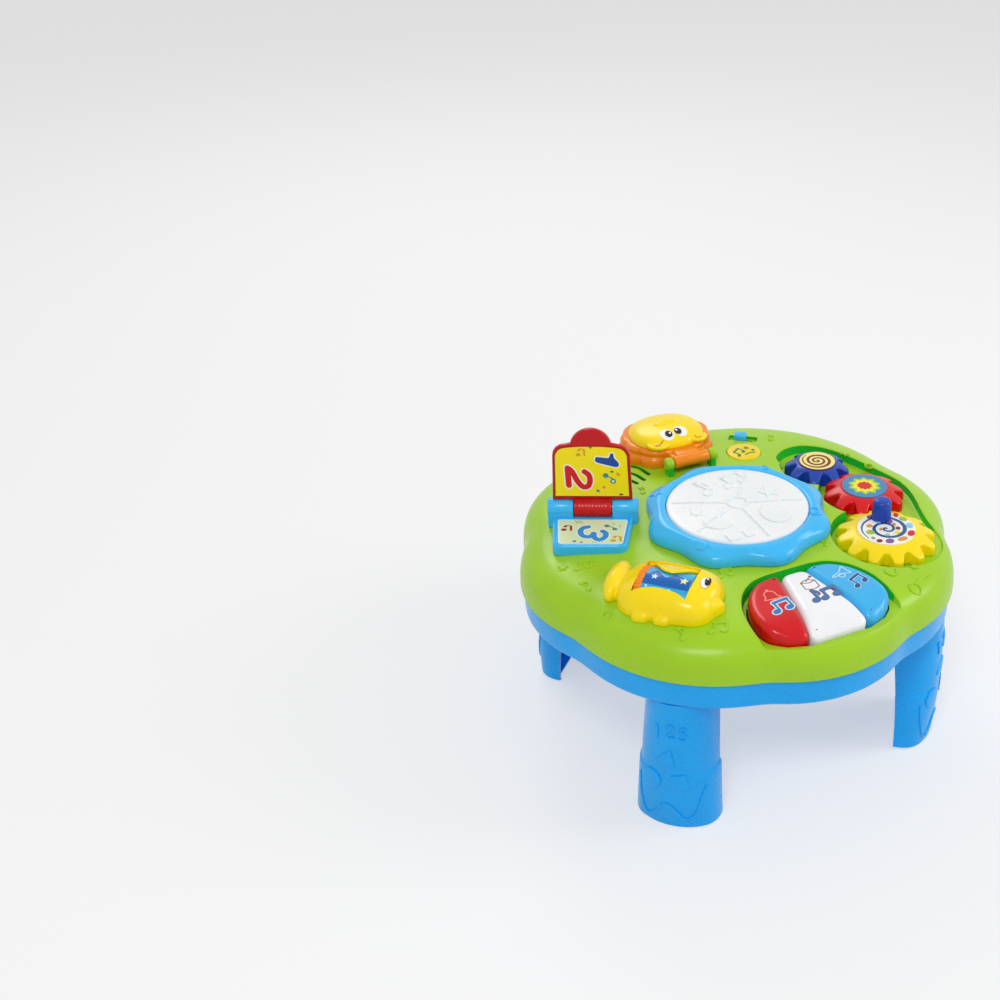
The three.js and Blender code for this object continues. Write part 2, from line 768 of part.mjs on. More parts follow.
function baseTray() {
  const bowl = solid(loft(trayRings(0, trayFloor))).subtract(solid(loft(trayRings(trayWall, trayFloor + trayWall))));
  const sockets = Object.values(legAngles).map((direction) => {
    return legSocket(direction, seatGap + plugWall, trayFloor, trayFloor + plugHeight + plugWall);
  });
  const plugs = Object.values(legAngles).map((direction) => legSocket(direction, seatGap, 0, trayFloor + plugHeight));
  const bosses = screwPlaces.map(({ x, y }) => solid(disc(bossRadius, trayFloor, trayBossTop, x, y, 16)));
  const posts = [
    ...boardPosts(mainBoardSize, drumPlace.y, mainBoardHeight),
    ...boardPosts(keyBoardSize, keyBoardY, keyBoardHeight),
  ];
  const wall = trayWall;
  const box = solid(
    block(batteryBox.x + 2 * wall, batteryBox.y + 2 * wall, trayFloor, batteryBox.top + wall, 0, batteryPlaceY),
  );
  const boxSpace = solid(block(batteryBox.x, batteryBox.y, 0, batteryBox.top, 0, batteryPlaceY));
  const doorSeat = solid(
    block(
      doorSize.x + 2 * seatGap, doorSize.y + 2 * seatGap, 0, trayFloor + doorThickness + seatGap, 0, batteryPlaceY,
    ),
  );
  const doorBoss = solid(disc(bossRadius, trayFloor, batteryBox.top, 0, doorScrewY, 16));
  const doorBore = solid(disc(screwRadius + runningGap, 0, batteryBox.top - trayWall, 0, doorScrewY, 12));
  const sinks = screwPlaces.flatMap(({ x, y }) => [
    solid(disc(screwHeadRadius + runningGap, 0, screwSeat, x, y, 16)),
    solid(disc(screwRadius + runningGap, 0, trayBossTop + overrun, x, y, 12)),
  ]);
  const whole = join([bowl, ...sockets, ...bosses, ...posts, box, doorBoss]);
  add('base_tray', cutAll(whole, [...plugs, boxSpace, doorSeat, doorBore, ...sinks]), finish(skyBlue));
}

// Legs

const legTop = trayFloor - seatGap;

// The section at a share of the leg's height. Its flat side leans in towards the top.
function legRing(share, z = legTop * share, step = 0) {
  const halfWidth = THREE.MathUtils.lerp(legFootWidth, legTopWidth, share) / 2 + step;
  const reach = THREE.MathUtils.lerp(legFootDepth, legTopDepth, share) + step;
  const inner = legInnerRadius - legLean * share ** legLeanFullness;
  const section = (wall) => {
    const points = [];
    for (let i = 0; i <= legSteps; i++) {
      const angle = Math.PI * (i / legSteps - 0.5);
      points.push(
        new THREE.Vector3(inner + Math.cos(angle) ** 0.8 * (reach - wall), Math.sin(angle) * (halfWidth - wall), z),
      );
    }
    return points;
  };
  return [...section(0), ...section(legWall).reverse()];
}

function leg(name, direction) {
  const boot = legTop * legBootShare;
  const shell = solid(loft([
    legRing(0), legRing(0, legBootStep, legBootStep), legRing(legBootShare / 2, boot / 2, legBootStep),
    legRing(legBootShare, boot, legBootStep), legRing(legBootShare, boot + legBootStep),
    legRing(0.6), legRing(0.75), legRing(0.88), legRing(1),
  ]));
  const cover = legRing(1, 0).slice(0, legSteps + 1);
  const plate = solid(slab(cover, legTop - legTopPlate, legTop));
  const plug = solid(
    block(plugDepth, plugWidth, legTop - legTopPlate / 2, trayFloor + plugHeight - seatGap, plugRadius, 0),
  );
  const mesh = add(name, join([shell, plate, plug]), finish(skyBlue));
  mesh.rotation.z = radians(direction);
}

// Drum

function drumRingOutline(inset, z) {
  const steps = drumLobeCount * 6;
  const points = [];
  for (let i = 0; i < steps; i++) {
    const angle = 2 * Math.PI * i / steps;
    const lobe = drumRingLobe * (inset > drumRingLobe ? 0.5 : 1);
    const radius = drumRingRadius + lobe * Math.cos(drumLobeCount * angle) - inset;
    points.push(new THREE.Vector3(drumPlace.x + Math.cos(angle) * radius, drumPlace.y + Math.sin(angle) * radius, z));
  }
  return points;
}

const drumHeadTop = deckHeight + drumHeadRise;
const padFoot = mainBoardHeight + boardThickness + seatGap;
const padStemBottom = padFoot + drumPadHeight + seatGap;

function drum() {
  const low = deckHeight + seatGap;
  const high = deckHeight + drumRingHeight;
  const rise = high - low;
  const ring = solid(loft([
    drumRingOutline(0, low), drumRingOutline(0, low + rise * 0.45), drumRingOutline(drumRingLobe, low + rise * 0.85),
    drumRingOutline(2.6 * drumRingLobe, high),
  ]));
  const bore = solid(
    disc(drumHeadRadius + slideGap / 2, low - overrun, high + overrun, drumPlace.x, drumPlace.y, 48),
  );
  add('drum_ring', ring.subtract(bore), finish(skyBlue));
  const rim = drumHeadTop - drumSkirt;
  const profile = [
    [0, padStemBottom], [drumStemRadius, padStemBottom], [drumStemRadius, drumHeadTop - drumHeadWall],
    [drumHeadRadius - drumHeadWall, drumHeadTop - drumHeadWall], [drumHeadRadius - drumHeadWall, rim],
    [drumHeadRadius, rim], [drumHeadRadius, drumHeadTop - drumHeadWall / 2],
    [drumHeadRadius - drumHeadWall / 2, drumHeadTop],
    [0, drumHeadTop],
  ];
  const head = add('drum_pad', turned(profile, 48), finish(0xf1f3f4, 0.35));
  head.position.set(drumPlace.x, drumPlace.y, 0);
  const pad = disc(rubberPadRadius, padFoot, padFoot + drumPadHeight, drumPlace.x, drumPlace.y, 16);
  add('drum_return_pad', pad, finish(0x8a8d90, 0.8));
}

// Keys

const keyPadX = (side) => keyCentreX + side * keyHalfWidth * 0.6;

function keyBody(name, points, color, padX) {
  const clear = keyTopHeight - keyCrown;
  const body = solid(loft([
    atHeight(points, keyBottomHeight), atHeight(points, clear),
    atHeight(shrunk(points, 0.97), keyTopHeight - keyCrown * 0.35), atHeight(shrunk(points, 0.88), keyTopHeight),
  ]));
  const rodY = keyBackY - keyRodSetback;
  const hollow = solid(slab(shrunk(points, keyHollowShare), keyBottomHeight - overrun, keyTopHeight - keyWall));
  const spine = solid(
    block(2 * keyHalfWidth, 2 * keySpine, keyBottomHeight, keyRodHeight + keySpine, keyCentreX, rodY),
  );
  const post = solid(disc(rubberPadRadius, keyBottomHeight, keyTopHeight - keyWall, padX, keyBoardY, 16));
  const bore = solid(bar(keyRodRadius + runningGap, keyRodSpan * 2, keyCentreX, rodY, keyRodHeight, 12));
  const key = body.subtract(hollow).add(join([spine, post]).intersect(hollow));
  add(name, key.subtract(bore), finish(color, 0.25));
}

function keys() {
  keyBody('key_left', outerKeyOutline(-1), toyRed, keyPadX(-1));
  keyBody('key_middle', middleKeyOutline(0), 0xf6f6f6, keyPadX(0));
  keyBody('key_right', outerKeyOutline(1), paleBlue, keyPadX(1));
  const rod = bar(keyRodRadius, keyRodSpan, keyCentreX, keyBackY - keyRodSetback, keyRodHeight, 12);
  add('key_hinge_rod', rod, finish(0xb8bcc2, 0.3, 0.9));
  const low = keyBoardHeight + boardThickness + seatGap;
  const high = keyBottomHeight - seatGap;
  const names = ['key_return_pad_left', 'key_return_pad_middle', 'key_return_pad_right'];
  names.forEach((name, i) => {
    add(
      name, disc(rubberPadRadius, low, high, keyPadX(i - 1), keyBoardY, 16, rubberPadRadius * 0.7),
      finish(0x8a8d90, 0.8),
    );
  });
}

// Gears

function gears() {
  const phases = gearPhases();
  const looks = { gear_small: navyBlue, gear_medium: toyRed, gear_large: toyYellow };
  const low = recessFloor + seatGap;
  const high = low + gearThickness;
  for (const name of Object.keys(gearTeeth)) {
    const { x, y } = gearPlace[name];
    const blank = solid(loft([
      gearRing(name, 0, low), gearRing(name, gearDraft, high - gearBevel),
      gearRing(name, gearDraft + gearBevel, high),
    ]));
    const bore = solid(disc(gearPinRadius + runningGap, low - overrun, high - gearTopWall, 0, 0, 16));
    const gear = add(name, blank.subtract(bore), finish(looks[name], 0.28));
    gear.position.set(x, y, 0);
    gear.rotation.z = radians(phases[name]);
    const flangeTop = recessFloor - shellWall - seatGap;
    const pin = turned([
      [0, flangeTop - gearPinFlangeThickness], [gearPinFlange, flangeTop - gearPinFlangeThickness],
      [gearPinFlange, flangeTop],
      [gearPinRadius, flangeTop], [gearPinRadius, high - gearTopWall - seatGap], [0, high - gearTopWall - seatGap],
    ], 16);
    add(`${name}_pin`, pin, finish(0xdfe2e4, 0.5)).position.set(x, y, 0);
    const label = disc(
      outerRadius(name) * gearLabelShare, high + seatGap, high + seatGap + gearLabelThickness, x, y, 32,
    );
    add(`${name}_label`, label, finish(0xf7f1c8, 0.4));
  }
  const foot = high + 2 * seatGap + gearLabelThickness;
  const knob = turned([
    [0, foot], [crankRadius, foot], [crankRadius * 0.93, foot + crankHeight - crankRadius * 0.3],
    [crankRadius * 0.7, foot + crankHeight - crankRadius * 0.06], [0, foot + crankHeight],
  ], 20);
  const place = placeFrom(gearPlace.gear_large, crankOffset, crankAngle);
  add('crank_knob', knob, finish(navyBlue, 0.25)).position.set(place.x, place.y, 0);
}

// Lion flap

function ellipsePoints(centre, radius, steps, ripple = 0, count = 0, fullness = 2) {
  const points = [];
  const bulge = (value) => Math.sign(value) * Math.abs(value) ** (2 / fullness);
  for (let i = 0; i < steps; i++) {
    const angle = 2 * Math.PI * i / steps;
    const wave = ripple * Math.cos(count * angle);
    points.push(new THREE.Vector2(
      centre.x + (radius.x + wave) * bulge(Math.cos(angle)), centre.y + (radius.y + wave) * bulge(Math.sin(angle)),
    ));
  }
  return points;
}

function lionFlap() {
  const edge = ellipsePoints(lionManeCentre, lionManeRadius, lionScallopCount * 4, lionScallop, lionScallopCount);
  const low = -lionUnderside;
  const rise = lionManeTop + lionUnderside;
  const dome = solid(loft([
    atHeight(edge, low - lionSkirt), atHeight(edge, low + rise * 0.6), atHeight(shrunk(edge, 0.9), lionManeTop),
  ]));
  const hollow = solid(slab(shrunk(edge, lionHollowShare), low - 2 * lionSkirt, lionManeTop - lionWall));
  const mane = seatedOnDeck(dome.subtract(hollow), lionGroup);
  const barrel = solid(bar(lionBarrelRadius, lionBarrelLength, 0, 0, 0, 20));
  const tabLength = lionManeCentre.y - lionManeRadius.y * 0.6;
  const tab = solid(block(lionTabWidth, tabLength, -lionBarrelRadius, lionBarrelRadius / 2, 0, tabLength / 2));
  const bore = solid(bar(lionPinRadius + runningGap, lionBarrelLength * 2, 0, 0, 0, 12));
  const body = cutAll(join([mane, barrel, tab]), [bore]);
  add('lion_mane', body, finish(0xf98a12), lionGroup);
  const face = ellipsePoints(lionFaceCentre, lionFaceRadius, 32);
  const base = lionManeTop + seatGap;
  const head = solid(loft([
    atHeight(face, base), atHeight(face, base + lionFaceRise * 0.3),
    atHeight(shrunk(face, 0.86), base + lionFaceRise * 0.75),
    atHeight(shrunk(face, 0.55), base + lionFaceRise),
  ]));
  const ears = [-1, 1].map((side) => {
    const x = lionFaceCentre.x + side * lionFaceRadius.x * lionEarPlaceShare.x;
    const y = lionFaceCentre.y - lionFaceRadius.y * lionEarPlaceShare.y;
    return solid(disc(lionEarRadius, base, base + lionFaceRise * 0.6, x, y, 20, lionEarRadius * 0.8));
  });
  add('lion_face', join([head, ...ears]), finish(toyYellow), lionGroup);
  const pinLength = lionBarrelLength + 2 * lionLugThickness;
  add('lion_hinge_pin', bar(lionPinRadius, pinLength, 0, 0, 0, 12), finish(0xb8bcc2, 0.3, 0.9), lionGroup);
}

// Flip book

function bookBaseOutline() {
  const front = -bookBaseLength;
  const corner = bookBaseFrontWidth * 0.08;
  const half = [
    [bookBaseBackWidth / 2, bookBaseHeel], [bookBaseBackWidth / 2, -bookBarrelRadius],
    [bookBaseFrontWidth / 2, front + corner], [bookBaseFrontWidth / 2 - corner, front],
  ];
  const right = half.map(([x, y]) => new THREE.Vector2(x, y));
  const left = half.map(([x, y]) => new THREE.Vector2(-x, y));
  return [...left, ...right.reverse()];
}

function bookPageOutline() {
  const low = bookBarrelRadius + bookPageGap;
  const high = low + bookPageHeight;
  const shape = new THREE.Shape();
  shape.moveTo(-bookPageBottomWidth / 2, low);
  shape.lineTo(bookPageBottomWidth / 2, low);
  shape.lineTo(bookPageTopWidth / 2, high - bookPageCorner);
  shape.quadraticCurveTo(bookPageTopWidth / 2, high, bookPageTopWidth / 2 - bookPageCorner, high);
  const rise = high - bookTabSink;
  const foot = Math.sqrt(bookTabRadius ** 2 - bookTabSink ** 2);
  shape.lineTo(foot, high);
  shape.absarc(
    0, rise, bookTabRadius, Math.asin(bookTabSink / bookTabRadius),
    Math.PI - Math.asin(bookTabSink / bookTabRadius), false,
  );
  shape.lineTo(-bookPageTopWidth / 2 + bookPageCorner, high);
  shape.quadraticCurveTo(-bookPageTopWidth / 2, high, -bookPageTopWidth / 2, high - bookPageCorner);
  return shape;
}

function book() {
  const seat = bookBaseTop - bookAxisRise;
  const plate = solid(slab(bookBaseOutline(), -bookAxisRise - overrun, seat));
  const heel = solid(block(bookBaseBackWidth, 2 * bookBaseHeel, -bookAxisRise - overrun, 0));
  const barrelLength = (bookLength - bookKnuckle) / 2 - runningGap;
  const barrels = [-1, 1].map(
    (side) => solid(bar(bookBarrelRadius, barrelLength, side * (bookLength - barrelLength) / 2, 0, 0, 20)),
  );
  const knuckleSpace = solid(bar(bookBarrelRadius + slideGap, bookKnuckle + 2 * runningGap, 0, 0, 0, 20));
  const bore = solid(bar(bookPinRadius + runningGap, bookLength * 2, 0, 0, 0, 12));
  const base = cutAll(join([plate, heel, ...barrels]), [knuckleSpace, bore, openAboveKnuckle()]);
  add('book_base', seatedOnDeck(base, bookGroup), finish(skyBlue), bookGroup);

  const panel = new THREE.ExtrudeGeometry(
    bookPageOutline(), { depth: bookPageThickness, bevelEnabled: false, curveSegments: 6 },
  );
  panel.rotateX(Math.PI / 2);
  panel.translate(0, bookPageThickness / 2, 0);
  const knuckle = solid(bar(bookBarrelRadius, bookKnuckle, 0, 0, 0, 20));
  const neck = solid(block(bookKnuckle, bookPageThickness * 1.6, 0, bookBarrelRadius + 2 * bookPageGap));
  add('book_page', cutAll(join([solid(panel), knuckle, neck]), [bore]), finish(0xcf0a18), bookGroup);
  add('book_hinge_pin', bar(bookPinRadius, bookLength, 0, 0, 0, 12), finish(0xb8bcc2, 0.3, 0.9), bookGroup);

  const labelLow = seat + seatGap;
  const labelOutline = shrunk(bookBaseOutline(), 1 - 2 * bookLabelMargin / bookBaseBackWidth).map((point) => {
    return new THREE.Vector2(point.x, Math.min(point.y, -bookBarrelRadius - bookLabelMargin / 2));
  });
  add(
    'book_base_label', slab(tidyOutline(labelOutline), labelLow, labelLow + bookLabelThickness),
    finish(0xd3ecc0, 0.4), bookGroup,
  );
  const bottom = bookBarrelRadius + bookPageGap + bookLabelMargin / 2;
  const top = bottom + bookPageHeight - bookLabelMargin;
  const half = (width) => (width - bookLabelMargin) / 2;
  const corners = [[-1, bottom], [1, bottom], [1, top], [-1, top]];
  const sheet = slab(corners.map(([side, y]) => {
    return new THREE.Vector2(side * half(y === bottom ? bookPageBottomWidth : bookPageTopWidth), y);
  }), 0, bookLabelThickness);
  sheet.rotateX(Math.PI / 2);
  sheet.translate(0, -bookPageThickness / 2 - seatGap, 0);
  add('book_page_label', sheet, finish(0xffe400, 0.4), bookGroup);
}

// Drops points that fall on their neighbour.
function tidyOutline(points) {
  return points.filter((point, i) => point.distanceTo(points[(i + 1) % points.length]) > seatGap);
}

// The heel is open between the barrels, so that the page's knuckle can turn.
function openAboveKnuckle() {
  return solid(block(bookKnuckle + 2 * runningGap, 2 * (bookBarrelRadius + slideGap), 0, overrun));
}

// Fish

function mound(centre, radius, turn, sides = 24, rings = 5, fullness = 2) {
  const level = (share, z) => {
    return atHeight(
      ellipsePoints({ x: 0, y: 0 }, { x: radius.x * share, y: radius.y * share }, sides, 0, 0, fullness), z,
    );
  };
  const levels = [level(1, -overrun)];
  for (let i = 0; i < rings; i++) {
    const angle = Math.PI / 2 * i / rings;
    levels.push(level(Math.cos(angle), radius.z * Math.sin(angle)));
  }
  const geometry = loft(levels);
  geometry.rotateZ(radians(turn));
  geometry.translate(centre.x, centre.y, 0);
  return solid(geometry);
}

const fishCavity = { x: fishRollerLength + 2 * slideGap, y: 2 * (fishRollerRadius + slideGap) };
const fishCheekSpan = fishCavity.x + 2 * fishCheek.thickness;

// Opening in the deck for the roller and the two cheeks that carry its pin.
function fishOpening() {
  const { x, y } = fishPlace;
  const low = seamHeight;
  const high = deckHeight + overrun;
  const roller = solid(block(fishCavity.x, fishCavity.y, low, high, x, y, fishTurnAngle));
  return roller.add(
    solid(block(fishCheekSpan + 2 * seatGap, fishCheek.width + 2 * seatGap, low, high, x, y, fishTurnAngle)),
  );
}

function fish() {
  const body = mound({ x: fishBodyShift, y: 0 }, fishBodyRadius, 0, 32, 6, fishBodyFullness);
  const tail = mound(
    { x: fishTail.x, y: 0 }, { x: fishTail.halfWidth, y: fishTail.halfLength, z: fishTail.height }, fishTail.turn,
    20, 4,
  );
  const fins = [-1, 1].map((side) => {
    const centre = { x: fishFin.x + side * fishFin.spacing / 2, y: fishFin.y };
    return mound(centre, { x: fishFin.radius, y: fishFin.radius * 1.3, z: fishFin.height }, 0, 14, 3);
  });
  const ridge = mound(
    { x: fishRidge.x, y: fishRidge.y }, { x: fishRidge.halfLength, y: fishRidge.halfWidth, z: fishRidge.height },
    0, 20, 4,
  );
  const axis = -fishRollerDrop;
  const cheeks = solid(block(fishCheekSpan, fishCheek.width, axis - fishCheek.drop, fishBodyRadius.z / 2));
  const cavity = solid(bar(fishRollerRadius + slideGap, fishCavity.x, 0, 0, axis, 32));
  const window = solid(block(fishCavity.x, fishWindowWidth, axis, fishBodyRadius.z + overrun));
  const under = solid(block(fishCavity.x, fishCavity.y, -2 * overrun, axis));
  const pinLength = fishRollerLength + 2 * fishPinSeat;
  const bore = solid(bar(fishPinRadius + runningGap, pinLength + 2 * seatGap, 0, 0, axis, 12));
  const seated = seatedOnDeck(join([body, tail, ...fins, ridge]), fishGroup);
  add('fish_body', cutAll(seated.add(cheeks), [cavity, window, under, bore]), finish(toyYellow), fishGroup);
  const rollerBore = solid(bar(fishPinRadius + runningGap, fishRollerLength * 2, 0, 0, axis, 12));
  const roller = solid(bar(fishRollerRadius, fishRollerLength, 0, 0, axis, 32)).subtract(rollerBore);
  add('fish_roller', roller, finish(0x1b6fc4, 0.35), fishGroup);
  add('fish_roller_pin', bar(fishPinRadius, pinLength, 0, 0, axis, 12), finish(0xb8bcc2, 0.3, 0.9), fishGroup);
}

// Slide switch

function slideSwitch() {
  const level = switchGroup.position.z;
  const seat = switchSeatHeight - level;
  const x = -switchTravel / 2;
  const lowest = seat + shellWall + slideGap;
  const cap = solid(block(switchKnobLength, switchSlotWidth - 2 * slideGap, lowest, switchKnobRise, x));
  const stem = solid(block(switchStem.length, switchStem.width, seat - slideGap, lowest + slideGap, x));
  add('switch_knob', cap.add(stem), finish(paleBlue), switchGroup);
  const body = block(switchBodySize.x, switchBodySize.y, seat - 2 * slideGap - switchBodySize.z, seat - 2 * slideGap);
  add('switch_body', solid(body), finish(0x33363a, 0.5), switchGroup);
}

// Badge and speaker

const badgeSeatHeight = deckLevel(badgePlace.x, badgePlace.y) - shellWall / 2;

function badge() {
  const low = badgeSeatHeight + seatGap;
  const plate = disc(badgeRadius, low, low + badgeThickness, badgePlace.x, badgePlace.y, 28, badgeRadius * 0.96);
  add('badge_disc', plate, finish(0xf6d90f, 0.35));
}

function speaker() {
  const top = speakerSeatHeight - seatGap;
  const base = top - speakerDepth;
  const cone = turned([
    [0, base], [speakerMagnetRadius, base], [speakerMagnetRadius, base + speakerDepth * 0.45],
    [speakerRadius * 0.9, top - speakerFlange], [speakerRadius, top - speakerFlange], [speakerRadius, top],
    [speakerRadius * 0.85, top], [speakerRadius * 0.35, top - speakerFlange * 2], [0, top - speakerFlange],
  ], 28);
  add('speaker', cone, finish(0x2b2d30, 0.6)).position.set(speakerPlace.x, speakerPlace.y, 0);
}

// Boards, lights, batteries and the battery door

function boards() {
  const main = block(
    mainBoardSize.x, mainBoardSize.y, mainBoardHeight, mainBoardHeight + boardThickness, drumPlace.x, drumPlace.y,
  );
  add('main_board', main, finish(0x1f7a3c, 0.5));
  const small = block(keyBoardSize.x, keyBoardSize.y, keyBoardHeight, keyBoardHeight + boardThickness, 0, keyBoardY);
  add('key_board', small, finish(0x1f7a3c, 0.5));
  const low = mainBoardHeight + boardThickness + seatGap;
  [[-1, -1], [1, -1], [-1, 1], [1, 1]].forEach(([sideX, sideY], i) => {
    const lamp = turned([
      [0, low], [lightRadius, low], [lightRadius, low + lightHeight - lightRadius],
      [lightRadius * 0.7, low + lightHeight - lightRadius * 0.3], [0, low + lightHeight],
    ], 12);
    const mesh = add(`drum_light_${i + 1}`, lamp, finish(0xfff4d0, 0.2));
    mesh.position.set(drumPlace.x + sideX * lightSpacing.x / 2, drumPlace.y + sideY * lightSpacing.y / 2, 0);
  });
}

const doorSize = { x: batteryBox.x + 2 * doorMargin, y: batteryBox.y + 2 * doorMargin };
const doorScrewY = batteryPlaceY - batteryBox.y / 2 - doorMargin / 2;

function batteryBay() {
  const low = trayFloor + batteryLift;
  for (let i = 0; i < batteryCount; i++) {
    const x = (i - (batteryCount - 1) / 2) * (2 * batteryRadius + batteryGap);
    const cell = new THREE.CylinderGeometry(batteryRadius, batteryRadius, batteryLength, 20);
    cell.translate(x, batteryPlaceY, low + batteryRadius);
    add(`battery_${i + 1}`, cell, finish(0x4b4f55, 0.35, 0.4));
  }
  for (const [name, side] of [['battery_contact_front', -1], ['battery_contact_back', 1]]) {
    const y = batteryPlaceY + side * (batteryLength / 2 + seatGap + contactThickness / 2);
    const strip = block(batteryBox.x - 2 * seatGap, contactThickness, low, low + contactHeight, 0, y);
    add(name, strip, finish(0xc9ccd0, 0.3, 0.9));
  }
  const lid = solid(block(doorSize.x, doorSize.y, trayFloor, trayFloor + doorThickness, 0, batteryPlaceY));
  const ribs = solid(
    block(
      batteryBox.x - 2 * seatGap, batteryBox.y * 0.5, trayFloor + doorThickness / 2, low - seatGap, 0,
      batteryPlaceY,
    ),
  );
  const hole = solid(disc(screwRadius + runningGap, 0, trayFloor + overrun, 0, doorScrewY, 12));
  add('battery_door', cutAll(lid.add(ribs), [hole]), finish(skyBlue));
  const head = trayFloor - seatGap;
  const shank = solid(disc(screwRadius, head - screwHeadHeight / 2, head + screwLength * 0.6, 0, doorScrewY, 12));
  add(
    'battery_door_screw',
    solid(disc(screwHeadRadius, head - screwHeadHeight, head, 0, doorScrewY, 12)).add(shank),
    finish(0xb8bcc2, 0.35, 0.9),
  );
}

topShell();
baseTray();
for (const [name, direction] of Object.entries(legAngles)) leg(name, direction);
drum();
keys();
gears();
lionFlap();
book();
fish();
slideSwitch();
badge();
speaker();
boards();
batteryBay();
caseScrews();

// Moves the table so that the middle of its box stands on the origin.
const bounds = new THREE.Box3().setFromObject(table, true);
const middle = bounds.getCenter(new THREE.Vector3());
table.position.set(-middle.x, -middle.y, 0);

export default table;
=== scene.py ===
# %% [markdown]
# # A toddler's musical activity table
# The real toy is a lobed green top on a blue tray and four plug-in legs. On the deck sit a drum, three
# piano keys, a train of gears, a flip book, a fish with a roller, and a lion whose face lifts on a hinge.
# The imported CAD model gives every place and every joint. This notebook gives the toy its soft moulded
# shapes, its printed labels and its plastics. It starts with the frame, because every piece rides on it.

import math

import bmesh
import bpy
from mathutils import Matrix, Vector
from mathutils.bvhtree import BVHTree


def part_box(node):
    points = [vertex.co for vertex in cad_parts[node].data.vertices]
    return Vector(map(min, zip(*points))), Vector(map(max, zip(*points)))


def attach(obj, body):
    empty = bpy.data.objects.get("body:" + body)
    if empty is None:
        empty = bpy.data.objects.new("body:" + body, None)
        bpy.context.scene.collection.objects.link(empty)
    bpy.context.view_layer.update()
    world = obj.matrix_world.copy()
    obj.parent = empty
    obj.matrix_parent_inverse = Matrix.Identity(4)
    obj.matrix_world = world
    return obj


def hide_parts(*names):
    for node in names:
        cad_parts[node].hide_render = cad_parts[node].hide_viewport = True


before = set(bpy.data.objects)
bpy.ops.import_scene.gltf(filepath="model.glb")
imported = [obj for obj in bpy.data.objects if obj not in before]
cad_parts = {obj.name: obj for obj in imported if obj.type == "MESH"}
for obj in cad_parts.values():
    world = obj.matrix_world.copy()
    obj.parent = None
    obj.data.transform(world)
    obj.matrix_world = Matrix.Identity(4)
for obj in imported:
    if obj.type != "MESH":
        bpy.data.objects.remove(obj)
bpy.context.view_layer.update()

# %% [markdown]
# ## Measuring
# Toys are drawn in millimetres and Blender works in metres, so every number below is written in
# millimetres and passes through one helper. The CAD model was moved a hair so that its box stands on the
# origin. One known pin tells how far, and every place taken from the drawing gets the same move.

# %% Millimetres and places
MM = 0.001


def mm(x, y, z=0.0):
    return Vector((x, y, z)) * MM


def centre_of(node):
    low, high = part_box(node)
    return (low + high) / 2


medium_gear_drawn = mm(155 * 0.639, 155 * -0.0645)
table_shift = centre_of("gear_medium_pin") - medium_gear_drawn
table_shift.z = 0
print("table shift in mm:", [round(v / MM, 3) for v in table_shift])


def on_table(x, y, z=0.0):
    return mm(x, y, z) + table_shift


def turned_frame(place, degrees=0.0, tilt=0.0):
    turn = Matrix.Rotation(math.radians(degrees), 4, "Z") @ Matrix.Rotation(math.radians(tilt), 4, "X")
    return Matrix.Translation(place) @ turn


# %% [markdown]
# ## The camera
# The camera stands where the photographer stood: a little left of the keys and about 34 degrees above the
# table. A shifted lens keeps the table at the right of the frame, as in the photograph.

# %% Camera
CAMERA = {"azimuth": -29.11, "elevation": 33.82, "roll": 1.5, "distance": 978.5, "lens": 49.11}
LOOK_AT = on_table(0, 0, 110.1)


def place_camera(settings, target):
    azimuth = math.radians(settings["azimuth"])
    elevation = math.radians(settings["elevation"])
    back = Vector((
        math.sin(azimuth) * math.cos(elevation),
        -math.cos(azimuth) * math.cos(elevation),
        math.sin(elevation),
    ))
    lens = bpy.data.cameras.new("camera")
    lens.lens = settings["lens"]
    lens.sensor_width = 36
    lens.shift_x = -0.2356
    lens.shift_y = 0.0699
    lens.clip_end = 50
    camera = bpy.data.objects.new("camera", lens)
    camera.location = target + back * settings["distance"] * MM
    upright = back.to_track_quat("Z", "Y").to_matrix().to_4x4()
    roll = Matrix.Rotation(math.radians(settings["roll"]), 4, "Z")
    camera.matrix_world = Matrix.Translation(camera.location) @ upright @ roll
    bpy.context.scene.collection.objects.link(camera)
    bpy.context.scene.camera = camera


place_camera(CAMERA, LOOK_AT)

# %% [markdown]
# ## Moulded plastic
# Nearly everything on the toy is glossy injection-moulded plastic. A flat colour looks like paint, so each
# plastic gets a faint cloudiness in its colour, a gloss that varies where the mould was polished less, and
# a very fine ripple. All three read Object coordinates, so they stay put when a piece moves.

# %% Plastics


def linear(code):
    """Turns a web colour into the linear colour that the shader wants."""
    channels = [int(code[i:i + 2], 16) / 255 for i in (0, 2, 4)]
    return [c / 12.92 if c <= 0.04045 else ((c + 0.055) / 1.055) ** 2.4 for c in channels] + [1]


def add_node(tree, kind, settings=None, **inputs):
    made = tree.nodes.new(kind)
    for name, value in (settings or {}).items():
        setattr(made, name, value)
    for name, value in inputs.items():
        made.inputs[name.replace("_", " ")].default_value = value
    return made


def noise_on(tree, scale, detail=2.0):
    place = add_node(tree, "ShaderNodeTexCoord")
    noise = add_node(tree, "ShaderNodeTexNoise", Scale=scale, Detail=detail)
    tree.links.new(place.outputs["Object"], noise.inputs["Vector"])
    return noise.outputs["Fac"]


def spread(tree, factor, low, high):
    """Maps a noise value to a range of plain numbers."""
    ranged = add_node(tree, "ShaderNodeMapRange", From_Min=0.3, From_Max=0.7, To_Min=low, To_Max=high)
    tree.links.new(factor, ranged.inputs["Value"])
    return ranged.outputs["Result"]


def shade(tree, factor, dark, light):
    ramp = add_node(tree, "ShaderNodeValToRGB")
    ramp.color_ramp.elements[0].position = 0.3
    ramp.color_ramp.elements[0].color = dark
    ramp.color_ramp.elements[1].position = 0.7
    ramp.color_ramp.elements[1].color = light
    tree.links.new(factor, ramp.inputs["Fac"])
    return ramp.outputs["Color"]


def tinted(colour, share):
    return [min(1, c * share) for c in colour[:3]] + [1]


